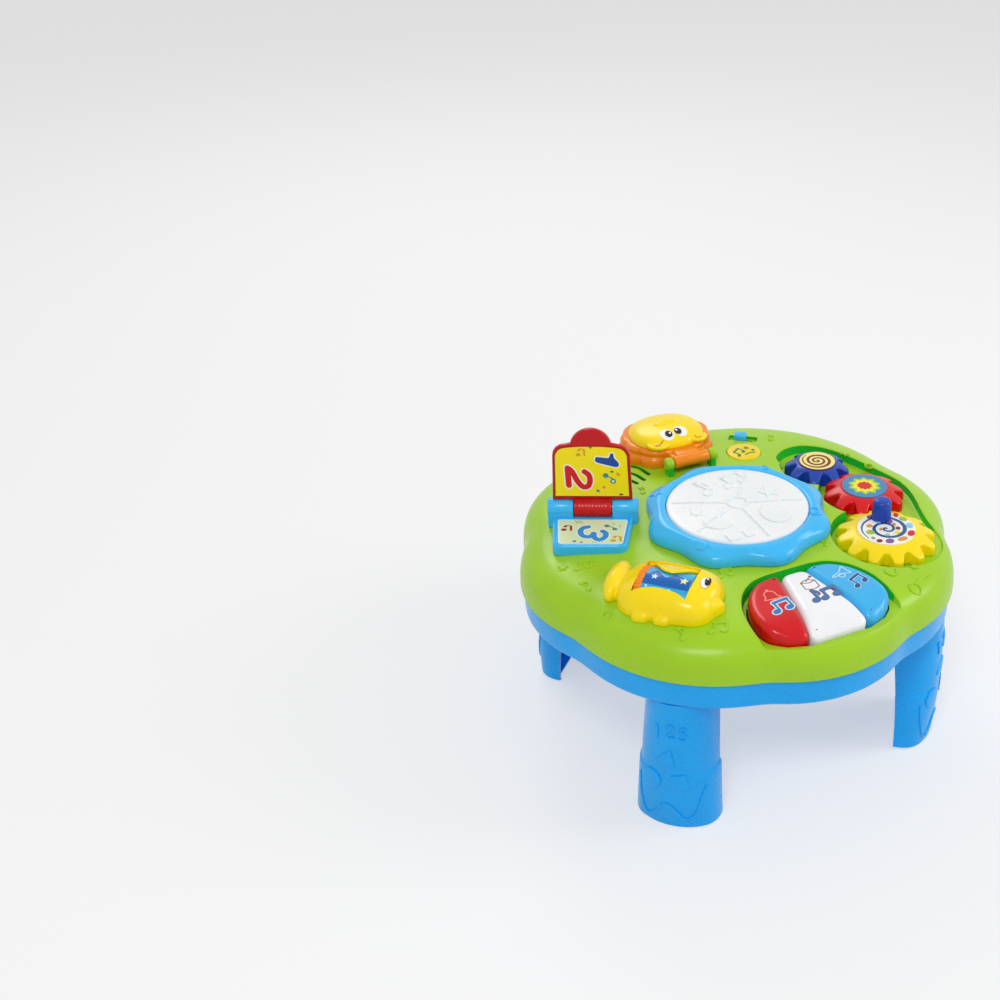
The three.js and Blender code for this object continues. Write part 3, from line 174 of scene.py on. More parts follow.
def ripple(tree, shader, scale, depth):
    bump = add_node(tree, "ShaderNodeBump", Strength=0.06, Distance=depth)
    tree.links.new(noise_on(tree, scale), bump.inputs["Height"])
    tree.links.new(bump.outputs["Normal"], shader.inputs["Normal"])


def moulded(name, code, gloss=0.26, cloud=0.025, inner_glow=0.0, grain=260, depth=0.00002):
    material = bpy.data.materials.new(name)
    material.use_nodes = True
    tree = material.node_tree
    shader = tree.nodes["Principled BSDF"]
    colour = linear(code)
    cloudy = shade(tree, noise_on(tree, 35), tinted(colour, 1 - cloud), tinted(colour, 1 + cloud))
    tree.links.new(cloudy, shader.inputs["Base Color"])
    tree.links.new(spread(tree, noise_on(tree, 120), gloss - 0.04, gloss + 0.05), shader.inputs["Roughness"])
    shader.inputs["IOR"].default_value = 1.49
    shader.inputs["Specular IOR Level"].default_value = 0.34
    if inner_glow:
        shader.inputs["Subsurface Weight"].default_value = inner_glow
        shader.inputs["Subsurface Scale"].default_value = 0.004
    ripple(tree, shader, grain, depth)
    return material


leaf_green = moulded("leaf_green", "a0cf1c", gloss=0.3)
# A deeper green for the steep pocket walls and the feet under the lion's lugs: painted shade, as the plastic
# itself is the same leaf green.
painted_shade_green = moulded("painted_shade_green", "1db82c", gloss=0.3)
tray_blue = moulded("tray_blue", "00a6f4")
ring_blue = moulded("ring_blue", "3cbcf8", gloss=0.2, inner_glow=0.1)
key_red = moulded("key_red", "d4000c", gloss=0.22)
key_white = moulded("key_white", "f2f3f6", gloss=0.22, cloud=0.02)
key_blue = moulded("key_blue", "3db3ee", gloss=0.22)
sun_yellow = moulded("sun_yellow", "ffe000", gloss=0.24)
deep_blue = moulded("deep_blue", "1a43ad", gloss=0.22)
gear_red = moulded("gear_red", "dd0510", gloss=0.22)
mane_orange = moulded("mane_orange", "fb8c10", gloss=0.2, inner_glow=0.15)
milk_white = moulded("milk_white", "eff1f2", gloss=0.3, cloud=0.02, inner_glow=0.2)
print("plastics:", len(bpy.data.materials))

# %% [markdown]
# ## Tools for soft shapes
# A moulded wall is a stack of outlines. The helper below starts from a circle, sets it on the first
# outline, then extrudes it ring by ring, as a modeller would with E and S. Another rounds the corners of
# an outline, and another draws a smooth line through a few points.

# %% Outlines


def smooth_line(points, steps=6, closed=False):
    """A Catmull-Rom line through the points, which may have any number of numbers each."""
    points = [Vector(p) for p in points]
    count = len(points)
    spans = range(count if closed else count - 1)
    line = []
    for i in spans:
        before = points[(i - 1) % count] if closed or i else points[0] * 2 - points[1]
        start, end = points[i], points[(i + 1) % count]
        after = points[(i + 2) % count] if closed or i + 2 < count else end * 2 - start
        for k in range(steps):
            t = k / steps
            line.append(0.5 * (
                2 * start + (end - before) * t + (2 * before - 5 * start + 4 * end - after) * t * t
                + (3 * start - before - 3 * end + after) * t ** 3
            ))
    return line if closed else line + [points[-1]]


def rounded(points, radius, steps=5):
    """Rounds each corner of a closed flat outline with an arc."""
    points = [Vector(p) for p in points]
    outline = []
    for i, corner in enumerate(points):
        to_last = points[i - 1] - corner
        to_next = points[(i + 1) % len(points)] - corner
        reach = min(radius, to_last.length * 0.45, to_next.length * 0.45)
        a = corner + to_last.normalized() * reach
        b = corner + to_next.normalized() * reach
        for k in range(steps + 1):
            t = k / steps
            outline.append(a * (1 - t) ** 2 + corner * 2 * t * (1 - t) + b * t * t)
    return outline


def circle_points(radius, steps, place=(0, 0), start=0.0):
    angles = [start + 2 * math.pi * i / steps for i in range(steps)]
    return [Vector((place[0] + radius * math.cos(a), place[1] + radius * math.sin(a))) for a in angles]


def grown(points, distance):
    """Moves each point of a smooth outline, drawn anticlockwise, outwards by a distance."""
    count = len(points)
    moved = []
    for i, point in enumerate(points):
        along = (points[(i + 1) % count] - points[i - 1]).normalized()
        moved.append(point + Vector((along.y, -along.x)) * distance)
    return moved


def at_height(points, z):
    return [mm(p[0], p[1], z) for p in points]


# %% Walls from rings


def grow_rings(bm, rings, cap_first=False, cap_last=False, tip=None, ring_closed=False):
    """Extrudes a circle from ring to ring; a ring is a list of points in metres."""
    count = len(rings[0])
    loop = bmesh.ops.create_circle(bm, segments=count, radius=1)["verts"]
    first = loop
    for vert, point in zip(loop, rings[0]):
        vert.co = point
    if cap_first:
        bm.faces.new(loop)
    for ring in rings[1:]:
        edges = [bm.edges.get((loop[i], loop[(i + 1) % count])) for i in range(count)]
        made = bmesh.ops.extrude_edge_only(bm, edges=edges)["geom"]
        fresh = {item for item in made if isinstance(item, bmesh.types.BMVert)}
        loop = [next(e.other_vert(v) for e in v.link_edges if e.other_vert(v) in fresh) for v in loop]
        for vert, point in zip(loop, ring):
            vert.co = point
    if tip is not None:
        edges = [bm.edges.get((loop[i], loop[(i + 1) % count])) for i in range(count)]
        made = bmesh.ops.extrude_edge_only(bm, edges=edges)["geom"]
        fresh = [item for item in made if isinstance(item, bmesh.types.BMVert)]
        bmesh.ops.pointmerge(bm, verts=fresh, merge_co=tip)
    if cap_last:
        bm.faces.new(loop)
    if ring_closed:
        edges = [bm.edges.get((ends[i], ends[(i + 1) % count])) for ends in (first, loop)
            for i in range(count)]
        bmesh.ops.bridge_loops(bm, edges=edges)
    return loop


def spin_profile(bm, profile, place, steps=48):
    """Turns a profile of (radius, height) points round an upright line."""
    verts = [bm.verts.new(place + mm(r, 0, z)) for r, z in profile]
    edges = [bm.edges.new(pair) for pair in zip(verts, verts[1:])]
    bmesh.ops.spin(
        bm, geom=verts + edges, cent=place, axis=(0, 0, 1), angle=2 * math.pi, steps=steps, use_merge=True,
    )
    bmesh.ops.remove_doubles(bm, verts=bm.verts, dist=1e-6)


def slab(bm, outline, low, high, edge=0.0, segments=3):
    """A flat plate with the given outline, its top edge rounded."""
    verts = [bm.verts.new(point) for point in at_height(outline, low)]
    face = bm.faces.new(verts)
    made = bmesh.ops.extrude_face_region(bm, geom=[face])["geom"]
    top = [item for item in made if isinstance(item, bmesh.types.BMVert)]
    bmesh.ops.translate(bm, verts=top, vec=mm(0, 0, high - low))
    if edge:
        rim = [e for e in {e for v in top for e in v.link_edges} if all(v in top for v in e.verts)]
        bmesh.ops.bevel(
            bm, geom=rim, offset=edge * MM, segments=segments, affect="EDGES", profile=0.5, material=-1,
        )
    return made


# %% [markdown]
# ## From a bmesh to a piece
# A finished piece stands at the origin with its place in its mesh, rides on one body and hides the CAD
# node it stands for. Edges sharper than a set angle stay crisp, and the rest is shaded smooth, as a
# polished mould leaves it.

# %% Pieces


def link_mesh(name, bm, material, recalculate=True):
    if recalculate:
        bmesh.ops.recalc_face_normals(bm, faces=bm.faces)
    mesh = bpy.data.meshes.new(name)
    bm.to_mesh(mesh)
    bm.free()
    piece = bpy.data.objects.new(name, mesh)
    bpy.context.scene.collection.objects.link(piece)
    if material:
        mesh.materials.append(material)
    return piece


def settle(piece):
    """Applies the modifiers, so that what is seen is what the mesh holds."""
    graph = bpy.context.evaluated_depsgraph_get()
    mesh = bpy.data.meshes.new_from_object(piece.evaluated_get(graph))
    old = piece.data
    piece.modifiers.clear()
    piece.data = mesh
    bpy.data.meshes.remove(old)


def soften(piece, crisp=38):
    """Smooth shading, with edges over the crisp angle kept sharp."""
    bm = bmesh.new()
    bm.from_mesh(piece.data)
    for face in bm.faces:
        face.smooth = True
    for edge in bm.edges:
        edge.smooth = len(edge.link_faces) != 2 or edge.calc_face_angle(0) < math.radians(crisp)
    bm.to_mesh(piece.data)
    bm.free()


def dress(piece, body, slot, *nodes, crisp=38):
    soften(piece, crisp)
    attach(piece, body)
    if nodes:
        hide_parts(*nodes)
    print(piece.name, len(piece.data.polygons), "faces")
    return piece


def carve(piece, *cutters):
    """Cuts each cutter away with an exact boolean, then throws the cutter away."""
    for cutter in cutters:
        modifier = piece.modifiers.new("cut", "BOOLEAN")
        modifier.operation = "DIFFERENCE"
        modifier.solver = "EXACT"
        modifier.object = cutter
        settle(piece)
        bpy.data.objects.remove(cutter)


# %% [markdown]
# ## The lobed dome
# The top is one big moulding: eight soft lobes round the edge, a flat middle, and a rim that rolls over
# into a nearly upright side. It could be sculpted, but the lobes are regular enough to write down. Each
# ring of the dome is the outline at a share of its size, and the notches fade out towards the middle.

# %% Outline of the table
LOBE_RADIUS = 155
NOTCH_DEPTH = 7.5
DECK = 156
SEAM = 125
NOTCH_ANGLES = [-162.5, -110.5, -69, -27, 10, 73, 117, 156]
STEPS_PER_LOBE = 36
DOME_PROFILE = [(1, 1), (0.996, 0.72), (0.981, 0.47), (0.952, 0.28), (0.91, 0.165), (0.85, 0.1), (0.74, 0.05),
                (0.6, 0.02), (0.45, 0)]


def table_outline():
    samples = []
    for i, start in enumerate(NOTCH_ANGLES):
        span = (NOTCH_ANGLES[(i + 1) % len(NOTCH_ANGLES)] - start) % 360
        for k in range(STEPS_PER_LOBE):
            u = k / STEPS_PER_LOBE
            radius = LOBE_RADIUS - NOTCH_DEPTH * (1 - math.sin(math.pi * u) ** 0.8)
            samples.append([math.radians(start + span * u), radius])
    for _ in range(10):
        radii = [r for a, r in samples]
        for i, sample in enumerate(samples):
            sample[1] = (radii[i - 1] + 2 * radii[i] + radii[(i + 1) % len(radii)]) / 4
    return samples


outline_samples = table_outline()


def smoothstep(t):
    t = min(1, max(0, t))
    return t * t * (3 - 2 * t)


def lobed_ring(share, inset, z):
    middle = LOBE_RADIUS - NOTCH_DEPTH * 0.3
    fade = smoothstep((share - 0.72) / 0.28)
    ring = []
    for angle, radius in outline_samples:
        reach = share * (middle + (radius - middle) * fade) - inset
        ring.append(on_table(math.cos(angle) * reach, math.sin(angle) * reach, z))
    return ring


def dome_rings(inset=0.0, sink=0.0):
    profile = smooth_line(DOME_PROFILE, steps=5)
    return [lobed_ring(share, inset, DECK - sink - (DECK - SEAM) * drop) for share, drop in profile]


def dome_body(name, bottom, inset=0.0, sink=0.0, material=None):
    bm = bmesh.new()
    grow_rings(bm, [lobed_ring(1, inset, bottom)] + dome_rings(inset, sink), cap_first=True, cap_last=True)
    return link_mesh(name, bm, material)


def height_finder(piece):
    """Looks straight down on a piece and tells how high its surface is, in millimetres."""
    bm = bmesh.new()
    bm.from_mesh(piece.data)
    bmesh.ops.triangulate(bm, faces=bm.faces)
    tree = BVHTree.FromBMesh(bm)
    bm.free()

    def height(x, y, fallback=SEAM):
        hit = tree.ray_cast(Vector((x, y, 1)), Vector((0, 0, -1)))[0]
        return hit.z / MM if hit else fallback

    return height


top_shell = dome_body("top_shell_moulding", SEAM, material=leaf_green)
deck_height = height_finder(top_shell)
print("deck height over the middle:", round(deck_height(0, 0), 2))

# %% [markdown]
# ## Pockets with rolled edges
# The gears and the keys sit in pockets. A plain boolean leaves knife edges that no mould has. So each
# cutter widens just before it leaves the plastic: a fillet at its floor, a steep wall, then two short
# slopes that follow the dome's own height. The cut edge then comes out rounded wherever it runs.

# %% Pocket cutters
GEARS = {
    "gear_small": {"teeth": 8, "outer": 24.3},
    "gear_medium": {"teeth": 10, "outer": 29.64},
    "gear_large": {"teeth": 12, "outer": 34.99},
}
RECESS_FLOOR = 147
RECESS_WALL = [
    ("gear_small", 140, 1.2), ("gear_small", 125, 1.34), ("gear_small", 100, 1.42), ("gear_small", 72, 1.4),
    ("gear_small", 28, 1.26), ("gear_medium", 25, 1.17), ("gear_medium", 0, 1.14), ("gear_medium", -25, 1.18),
    ("gear_large", 15, 1.19), ("gear_large", -21, 1.13), ("gear_large", -52, 1.11), ("gear_large", -80, 1.1),
    ("gear_large", -113, 1.09),
]


def pocket_cutter(outline, floor, roll=1.3):
    """A cutter for a pocket; the outline is anticlockwise, in millimetres, already moved with the table."""
    def follow(points, below):
        return [mm(x, y, max(floor + 0.2 + roll - below, deck_height(x * MM, y * MM) - below))
            for x, y in points]

    bm = bmesh.new()
    rings = [
        at_height(grown(outline, -1.6), floor), at_height(grown(outline, -0.5), floor + 0.35),
        at_height(outline, floor + 1.2), follow(grown(outline, 0.3), roll),
        follow(grown(outline, 0.3 + roll * 0.25), roll * 0.35), follow(grown(outline, 0.3 + roll), 0),
        follow(grown(outline, 0.3 + roll * 3), -roll),
    ]
    rings.append([point + mm(0, 0, 20) for point in rings[-1]])
    grow_rings(bm, rings, cap_first=True, cap_last=True)
    return link_mesh("cutter", bm, None)


def hole_cutter(outline, low=100, high=180):
    bm = bmesh.new()
    slab(bm, outline, low, high)
    return link_mesh("cutter", bm, None)


def flat(point):
    return Vector((point.x / MM, point.y / MM))


def from_gear(name, degrees, reach):
    place = flat(centre_of(name + "_pin"))
    a = math.radians(degrees)
    return place + Vector((math.cos(a), math.sin(a))) * reach


gear_places = {name: flat(centre_of(name + "_pin")) for name in GEARS}
round_pockets = [
    pocket_cutter(circle_points(gear["outer"] + 3, 96, gear_places[name]), RECESS_FLOOR)
    for name, gear in GEARS.items()
]
wall_line = smooth_line([from_gear(name, angle, GEARS[name]["outer"] * share)
    for name, angle, share in RECESS_WALL], 8)
long_pocket = pocket_cutter(
    list(reversed([gear_places[name] for name in ("gear_large", "gear_medium", "gear_small")] + wall_line)),
    RECESS_FLOOR,
)
carve(top_shell, *round_pockets, long_pocket)
print("shell faces after the gear pocket:", len(top_shell.data.polygons))

# %% [markdown]
# ## The key pocket and the openings
# The keys stand on a flat shelf whose side walls run straight out and vanish where the rim falls away.
# The drum, the keys, the roller and the slide switch each need a hole, and wavy slots let the sound out.

# %% Key fan
KEY_CENTRE_X = -2 + table_shift.x / MM
KEY_BACK_Y = -77.5 + table_shift.y / MM
KEY_LENGTH = 155 * 0.413
KEY_HALF = 46.5
SHELF = 146
KEY_MIDDLE = [(0.2, 0.03), (0.46, 1)]
KEY_OUTER = [(0.34, 0), (0.58, 0.04), (0.8, 0.17), (0.95, 0.38), (1, 0.6), (0.95, 0.79), (0.77, 0.92)]


def fan_point(share, side):
    return Vector((KEY_CENTRE_X + side * share[0] * KEY_HALF, KEY_BACK_Y - share[1] * KEY_LENGTH))


def fan_outline(margin):
    """The outline of all three keys together, anticlockwise."""
    left = smooth_line([fan_point(share, -1) for share in KEY_OUTER], 5)
    right = [Vector((2 * KEY_CENTRE_X - p.x, p.y)) for p in reversed(left)]
    front = [fan_point(KEY_MIDDLE[1], -1), fan_point(KEY_MIDDLE[1], 1)]
    return grown(left + front + right, margin)


def shelf_outline():
    reach = 3.6
    left = [Vector((KEY_CENTRE_X, KEY_BACK_Y))]
    left += smooth_line([fan_point(share, -1) for share in KEY_OUTER[:5]], 6)
    left += [Vector((left[-1].x, y)) for y in (-125, -135, -145, -155, -168)]
    right = [Vector((2 * KEY_CENTRE_X - p.x, p.y)) for p in reversed(left[1:])]
    return grown(left + right, reach)


SOUND_SLOTS = [
    [(-0.42, 0.755), (-0.365, 0.7), (-0.322, 0.64), (-0.3, 0.585)],
    [(-0.318, 0.735), (-0.272, 0.66), (-0.215, 0.6), (-0.196, 0.515)],
    [(-0.292, 0.605), (-0.256, 0.545), (-0.238, 0.475)],
    [(-0.338, 0.545), (-0.3, 0.505), (-0.282, 0.462)],
    [(-0.5, 0.695), (-0.475, 0.67), (-0.463, 0.645)],
    [(-0.443, 0.64), (-0.41, 0.615), (-0.385, 0.575), (-0.375, 0.545)],
]


def stroke(points, width, steps=6, ends=(1, 1)):
    """A brush stroke: a smooth line with a width, which may change to the far end, and round ends."""
    line = smooth_line(points, steps)
    last = len(line) - 1
    outline = []
    for side in (1, -1):
        for i in range(last + 1) if side == 1 else range(last, -1, -1):
            along = (line[min(i + 1, last)] - line[max(i - 1, 0)]).normalized()
            half = width / 2 * (ends[0] + (ends[1] - ends[0]) * i / last)
            across = Vector((along.y, -along.x)) * side * half
            outline.append(line[i] + across)
        for a in (math.pi * k / 5 for k in range(1, 5)):
            outline.append(line[i] + across * math.cos(a) + along * side * half * math.sin(a))
    return outline


def turned_box(place, width, depth, degrees, radius=0.0):
    a = math.radians(degrees)
    along, across = Vector((math.cos(a), math.sin(a))), Vector((-math.sin(a), math.cos(a)))
    corners = [place + along * x * width / 2 + across * y * depth / 2
        for x, y in ((-1, -1), (1, -1), (1, 1), (-1, 1))]
    return rounded(corners, radius, 4) if radius else corners


FISH_ANGLE = -45.4
SWITCH_ANGLE = -37
fish_place = flat(centre_of("fish_roller_pin"))
drum_place = flat(centre_of("drum_pad"))
switch_low, switch_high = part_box("switch_body")
switch_place = flat((switch_low + switch_high) / 2)
badge_place = flat(centre_of("badge_disc"))
badge_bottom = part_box("badge_disc")[0].z / MM - 0.3

carve(top_shell, pocket_cutter(shelf_outline(), SHELF))
holes = [
    fan_outline(0.9), circle_points(45.245, 96, drum_place),
    turned_box(fish_place, 33.2, 41.2, FISH_ANGLE), turned_box(fish_place, 48.6, 15.6, FISH_ANGLE),
    turned_box(switch_place, 14.4, 4.6, SWITCH_ANGLE),
]
holes += [stroke([flat(on_table(x * 155, y * 155)) for x, y in slot], 3.1) for slot in SOUND_SLOTS]
carve(top_shell, *[hole_cutter(outline) for outline in holes])
carve(
    top_shell,
    hole_cutter(turned_box(switch_place, 22, 9, SWITCH_ANGLE, 1.2), low=151.6),
    hole_cutter(circle_points(13.1, 64, badge_place), low=badge_bottom),
)
print("shell faces after all openings:", len(top_shell.data.polygons))

# %% [markdown]
# ## An even wall
# So far the top is a solid block with pits. A moulding has one even wall, so the faces underneath and the
# walls of the through holes go, and a Solidify modifier grows the wall inwards from what is left.

# %% Shell wall


def hollow_from_below(piece, wall):
    bm = bmesh.new()
    bm.from_mesh(piece.data)
    doomed = []
    for face in bm.faces:
        middle = face.calc_center_median()
        spread_out = (middle.xy - table_shift.xy).length
        underneath = face.normal.z < -0.9
        through = middle.z < 0.1435 and spread_out < 0.143 and abs(face.normal.z) < 0.5
        if underneath or through:
            doomed.append(face)
    bmesh.ops.delete(bm, geom=doomed, context="FACES")
    bmesh.ops.remove_doubles(bm, verts=bm.verts, dist=0.00001)
    bm.to_mesh(piece.data)
    bm.free()
    modifier = piece.modifiers.new("wall", "SOLIDIFY")
    modifier.thickness = wall * MM
    modifier.offset = -1
    settle(piece)


hollow_from_below(top_shell, 2.2)
# The steep walls of the pockets get the deeper green: painted shade on walls that stand in shadow.
top_shell.data.materials.append(painted_shade_green)
for face in top_shell.data.polygons:
    steep = abs(face.normal.z) < 0.75 and (face.center.xy - table_shift.xy).length < 0.138
    if steep and 0.1437 < face.center.z < DECK * MM - 0.0006:
        face.material_index = 1
dress(top_shell, "table", "leaf_green", "top_shell", crisp=32)

# %% [markdown]
# ## The blue tray
# The tray closes the top from below. It carries the batteries, takes the plug of each leg and is screwed
# to the top from underneath. It is made like the top: rings for the outside, cutters for what is let into
# the floor, and then an even wall. A raised lid keeps the deep battery bay whole while the wall is grown.

# %% Tray
TRAY_FLOOR = 104
TRAY_INSET = 2.2
TRAY_EDGE = 3.5
TRAY_EDGE_SHARES = [(1, 0), (0.72, 0.04), (0.5, 0.13), (0.29, 0.29), (0.13, 0.5), (0.04, 0.72), (0, 1)]
SCREW_PLACES = [(88, 0.79), (70, 0.81), (-61.5, 0.815), (-116, 0.8), (-169, 0.815), (150, 0.8)]
LEG_ANGLES = {"leg_front_left": -134, "leg_front_right": -44, "leg_rear_right": 46, "leg_rear_left": 136}
PLUG = {"radius": 134.96, "depth": 11, "width": 34, "top": 116}
door_low, door_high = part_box("battery_door")


def polar(degrees, reach):
    a = math.radians(degrees)
    return flat(on_table(math.cos(a) * reach, math.sin(a) * reach))


def make_tray():
    bm = bmesh.new()
    rings = [lobed_ring(1, TRAY_INSET + TRAY_EDGE * inward, TRAY_FLOOR + TRAY_EDGE * up)
        for inward, up in TRAY_EDGE_SHARES]
    rings.append(lobed_ring(1, TRAY_INSET, SEAM - 0.3))
    rings.append(lobed_ring(1, TRAY_INSET + 6, SEAM + 4))
    grow_rings(bm, rings, cap_first=True, cap_last=True)
    tray = link_mesh("base_tray_moulding", bm, tray_blue)
    door = flat((door_low + door_high) / 2)
    size = (door_high - door_low) / MM
    cutters = [hole_cutter(circle_points(3.3, 32, polar(a, share * 155)), high=TRAY_FLOOR + 4)
        for a, share in SCREW_PLACES]
    cutters += [
        hole_cutter(turned_box(polar(a, PLUG["radius"]), PLUG["depth"] + 0.6, PLUG["width"] + 0.6, a, 1.5),
        high=PLUG["top"])
        for a in LEG_ANGLES.values()
    ]
    cutters.append(hole_cutter(turned_box(door, size.x + 0.6, size.y + 0.6, 0, 2), high=TRAY_FLOOR + 2.3))
    cutters.append(hole_cutter(turned_box(door, size.x - 10, size.y - 10, 0, 1), high=122.5))
    carve(tray, *cutters)
    bm = bmesh.new()
    bm.from_mesh(tray.data)
    lid = [
        f for f in bm.faces
        if f.calc_center_median().z > (SEAM - 0.2) * MM
        and (f.calc_center_median().xy - door.to_3d().xy * MM).length > 0.045
    ]
    bmesh.ops.delete(bm, geom=lid, context="FACES")
    bm.to_mesh(tray.data)
    bm.free()
    wall = tray.modifiers.new("wall", "SOLIDIFY")
    wall.thickness = 2.2 * MM
    wall.offset = -1
    settle(tray)
    return dress(tray, "table", "sky_blue", "base_tray")


make_tray()

# %% [markdown]
# ## Legs
# Each leg is half a shell, open towards the middle, and it leans in a little as it rises. A boot stands
# proud of it, but only at the sides: at the front the step fades away. Its section is a D. One ring runs
# round the outside and back along the inside, so the wall has its thickness from the start. A thin web
# joins the two ends of the D at the foot, and keeps them from spreading.

# %% Leg
LEG_INNER = 128.96
LEG_LEAN = 10.5
LEG_TOP = TRAY_FLOOR - 0.3
LEG_WALL = 2.6
LEG_WEB = (0.3, 1.7)
BOOT = 0.435 * LEG_TOP
LEG_LEVELS = [
    (0, -0.7), (0.4, -0.1), (1.2, 1.2), (2.6, 1.2), (9, 1.2), (18, 1.2), (27, 1.2), (36, 1.2),
    (BOOT - 1, 1.2), (BOOT - 0.1, 1.0), (BOOT + 0.5, 0.5), (BOOT + 1.2, 0.1), (BOOT + 2, 0),
    (56, 0), (66, 0), (76, 0), (86, 0), (95, 0),
    (LEG_TOP - 0.6, 0), (LEG_TOP, -0.5),
]


def leg_point(along, z, out):
    """A point on a leg's skin: millimetres along the D from its nose, a height, and how far outside it."""
    share = z / LEG_TOP
    half = (57 + (47 - 57) * share) / 2
    depth = 22.8 + (33 - 22.8) * share
    inner = LEG_INNER - LEG_LEAN * share ** 1.7
    a = along / 26
    return mm(inner + max(0, math.cos(a)) ** 0.8 * (depth + out), math.sin(a) * (half + out), z)


def leg_section(z, step):
    outside, inside = [], []
    for i in range(49):
        a = math.pi * (i / 48 - 0.5)
        side_only = step if step < 0 else step * smoothstep((abs(a) - 0.35) / 0.7)
        outside.append(leg_point(a * 26, z, side_only))
        inside.append(leg_point(a * 26, z, side_only - LEG_WALL))
    return outside, inside


def make_leg(name, degrees):
    bm = bmesh.new()
    rings = []
    for z, step in LEG_LEVELS:
        outside, inside = leg_section(z, step)
        rings.append(outside + inside[::-1])
    grow_rings(bm, rings, cap_first=True, cap_last=True)
    outside, inside = leg_section(LEG_TOP - 3, 0)
    slab(bm, [flat(p) for p in grown([Vector(p.xy) for p in outside], -0.0004)], LEG_TOP - 3, LEG_TOP - 0.05)
    slab(bm, turned_box(Vector((PLUG["radius"], 0)), PLUG["depth"], PLUG["width"], 0, 1.5), LEG_TOP - 1.5,
        PLUG["top"] - 0.3, 1)
    outside, inside = leg_section(1.2, 1.2 - LEG_WALL / 2)
    slab(bm, [Vector((max(p.x, LEG_INNER + 0.5), p.y)) for p in map(flat, outside[1:-1])], *LEG_WEB)
    bmesh.ops.transform(bm, matrix=turned_frame(on_table(0, 0), degrees), verts=bm.verts)
    return dress(link_mesh(name + "_moulding", bm, tray_blue), LEG_BODIES[name], "sky_blue", name)


LEG_BODIES = {"leg_front_left": "front_left_leg", "leg_front_right": "front_right_leg"}
LEG_BODIES.update({"leg_rear_right": "rear_right_leg", "leg_rear_left": "rear_left_leg"})
legs = {name: make_leg(name, degrees) for name, degrees in LEG_ANGLES.items()}

# %% [markdown]
# ## Drawing on plastic
# Two kinds of drawing are on this toy. Some are moulded: low plates and lines in the same plastic. Others
# are printed on a label. Both are drawn here as thin plates, because a plate keeps its crisp edge from any
# distance. A drawing is first cut into small cells, then each of its points is laid on the surface below.

# %% Pens and shapes


def blob(x, y, across, along=None, degrees=0.0, steps=28):
    along = along or across
    turn = Matrix.Rotation(math.radians(degrees), 2)
    return [turn @ Vector((p.x * across, p.y * along)) + Vector((x, y)) for p in circle_points(1, steps)]


def star(points, outer, inner, place=(0, 0), degrees=90.0):
    spikes = []
    for i in range(2 * points):
        a = math.radians(degrees) + math.pi * i / points
        reach = inner if i % 2 else outer
        spikes.append(Vector((place[0] + math.cos(a) * reach, place[1] + math.sin(a) * reach)))
    return spikes


def moved(outlines, x, y, degrees=0.0, size=1.0):
    turn = Matrix.Rotation(math.radians(degrees), 2)
    return [[turn @ (Vector(p) * size) + Vector((x, y)) for p in outline] for outline in outlines]


def haloed(outlines, width):
    """The same shapes, each grown on all sides, as a printed border behind them."""
    return [grown(even_steps(outline, 90), width) for outline in outlines]


def quaver():
    """One note, about ten millimetres tall, its head at the lower left."""
    flag = stroke([(2.1, 5.6), (3.6, 4.2), (4.6, 2.6), (4.2, 0.6)], 1.9, ends=(1.1, 0.5))
    return [blob(0, -3.6, 2.7, 2.0, 25), stroke([(2.0, -3.4), (2.0, 5.6)], 1.3), flag]


def beamed_quavers():
    """Two notes under one beam."""
    heads = [blob(-5.2, -4, 2.7, 2.0, 25), blob(3.8, -3, 2.7, 2.0, 25)]
    stems = [stroke([(-3.1, -3.8), (-3.1, 4.2)], 1.3), stroke([(5.9, -2.8), (5.9, 5.2)], 1.3)]
    return heads + stems + [stroke([(-3.1, 4.2), (5.9, 5.2)], 2.3)]


def ring_line(x, y, radius, width=0.9):
    """A circle drawn as a line: an open loop whose ends meet."""
    return [stroke([(x + radius * math.cos(a), y + radius * math.sin(a)) for a in
                    [math.radians(d) for d in range(start, start + 181, 20)]], width, 2)
                    for start in (0, 180)]


# %% Laying drawings on a surface


def plates(bm, outlines, low, high, edge=0.0):
    """Plates that differ by a hair in height, so that no two tops share a plane."""
    for i, outline in enumerate(outlines):
        slab(bm, outline, low, high + 0.004 * i, edge, 2)


def cut_into_cells(bm, step):
    for axis in (0, 1):
        places = [vert.co[axis] / MM for vert in bm.verts]
        line = math.ceil(min(places) / step) * step
        while line < max(places):
            point, normal = Vector((0, 0, 0)), Vector((0, 0, 0))
            point[axis], normal[axis] = line * MM, 1
            bmesh.ops.bisect_plane(bm, geom=bm.verts[:] + bm.edges[:] + bm.faces[:], plane_co=point,
                plane_no=normal)
            line += step


def lay_on(bm, surface, step=2.5):
    """Bends flat plates onto a surface, which gives a point for (along, across, out)."""
    cut_into_cells(bm, step)
    for vert in bm.verts:
        vert.co = surface(*(vert.co / MM))


def down_onto(piece, frame_matrix, start=60):
    """A surface for drawings: along the frame's own downward line onto a piece."""
    bm = bmesh.new()
    bm.from_mesh(piece.data)
    bmesh.ops.transform(bm, matrix=frame_matrix.inverted(), verts=bm.verts)
    bmesh.ops.triangulate(bm, faces=bm.faces)
    tree = BVHTree.FromBMesh(bm)
    bm.free()

    def surface(x, y, out):
        hit, normal = tree.ray_cast(mm(x, y, start), Vector((0, 0, -1)))[:2]
        return frame_matrix @ (hit + normal * out * MM)

    return surface


def merged(parts):
    """One bmesh from several (bmesh, material number) pairs."""
    whole = bmesh.new()
    for part, number in parts:
        for face in part.faces:
            face.material_index = number
        mesh = bpy.data.meshes.new("part")
        part.to_mesh(mesh)
        part.free()
        whole.from_mesh(mesh)
        bpy.data.meshes.remove(mesh)
    return whole


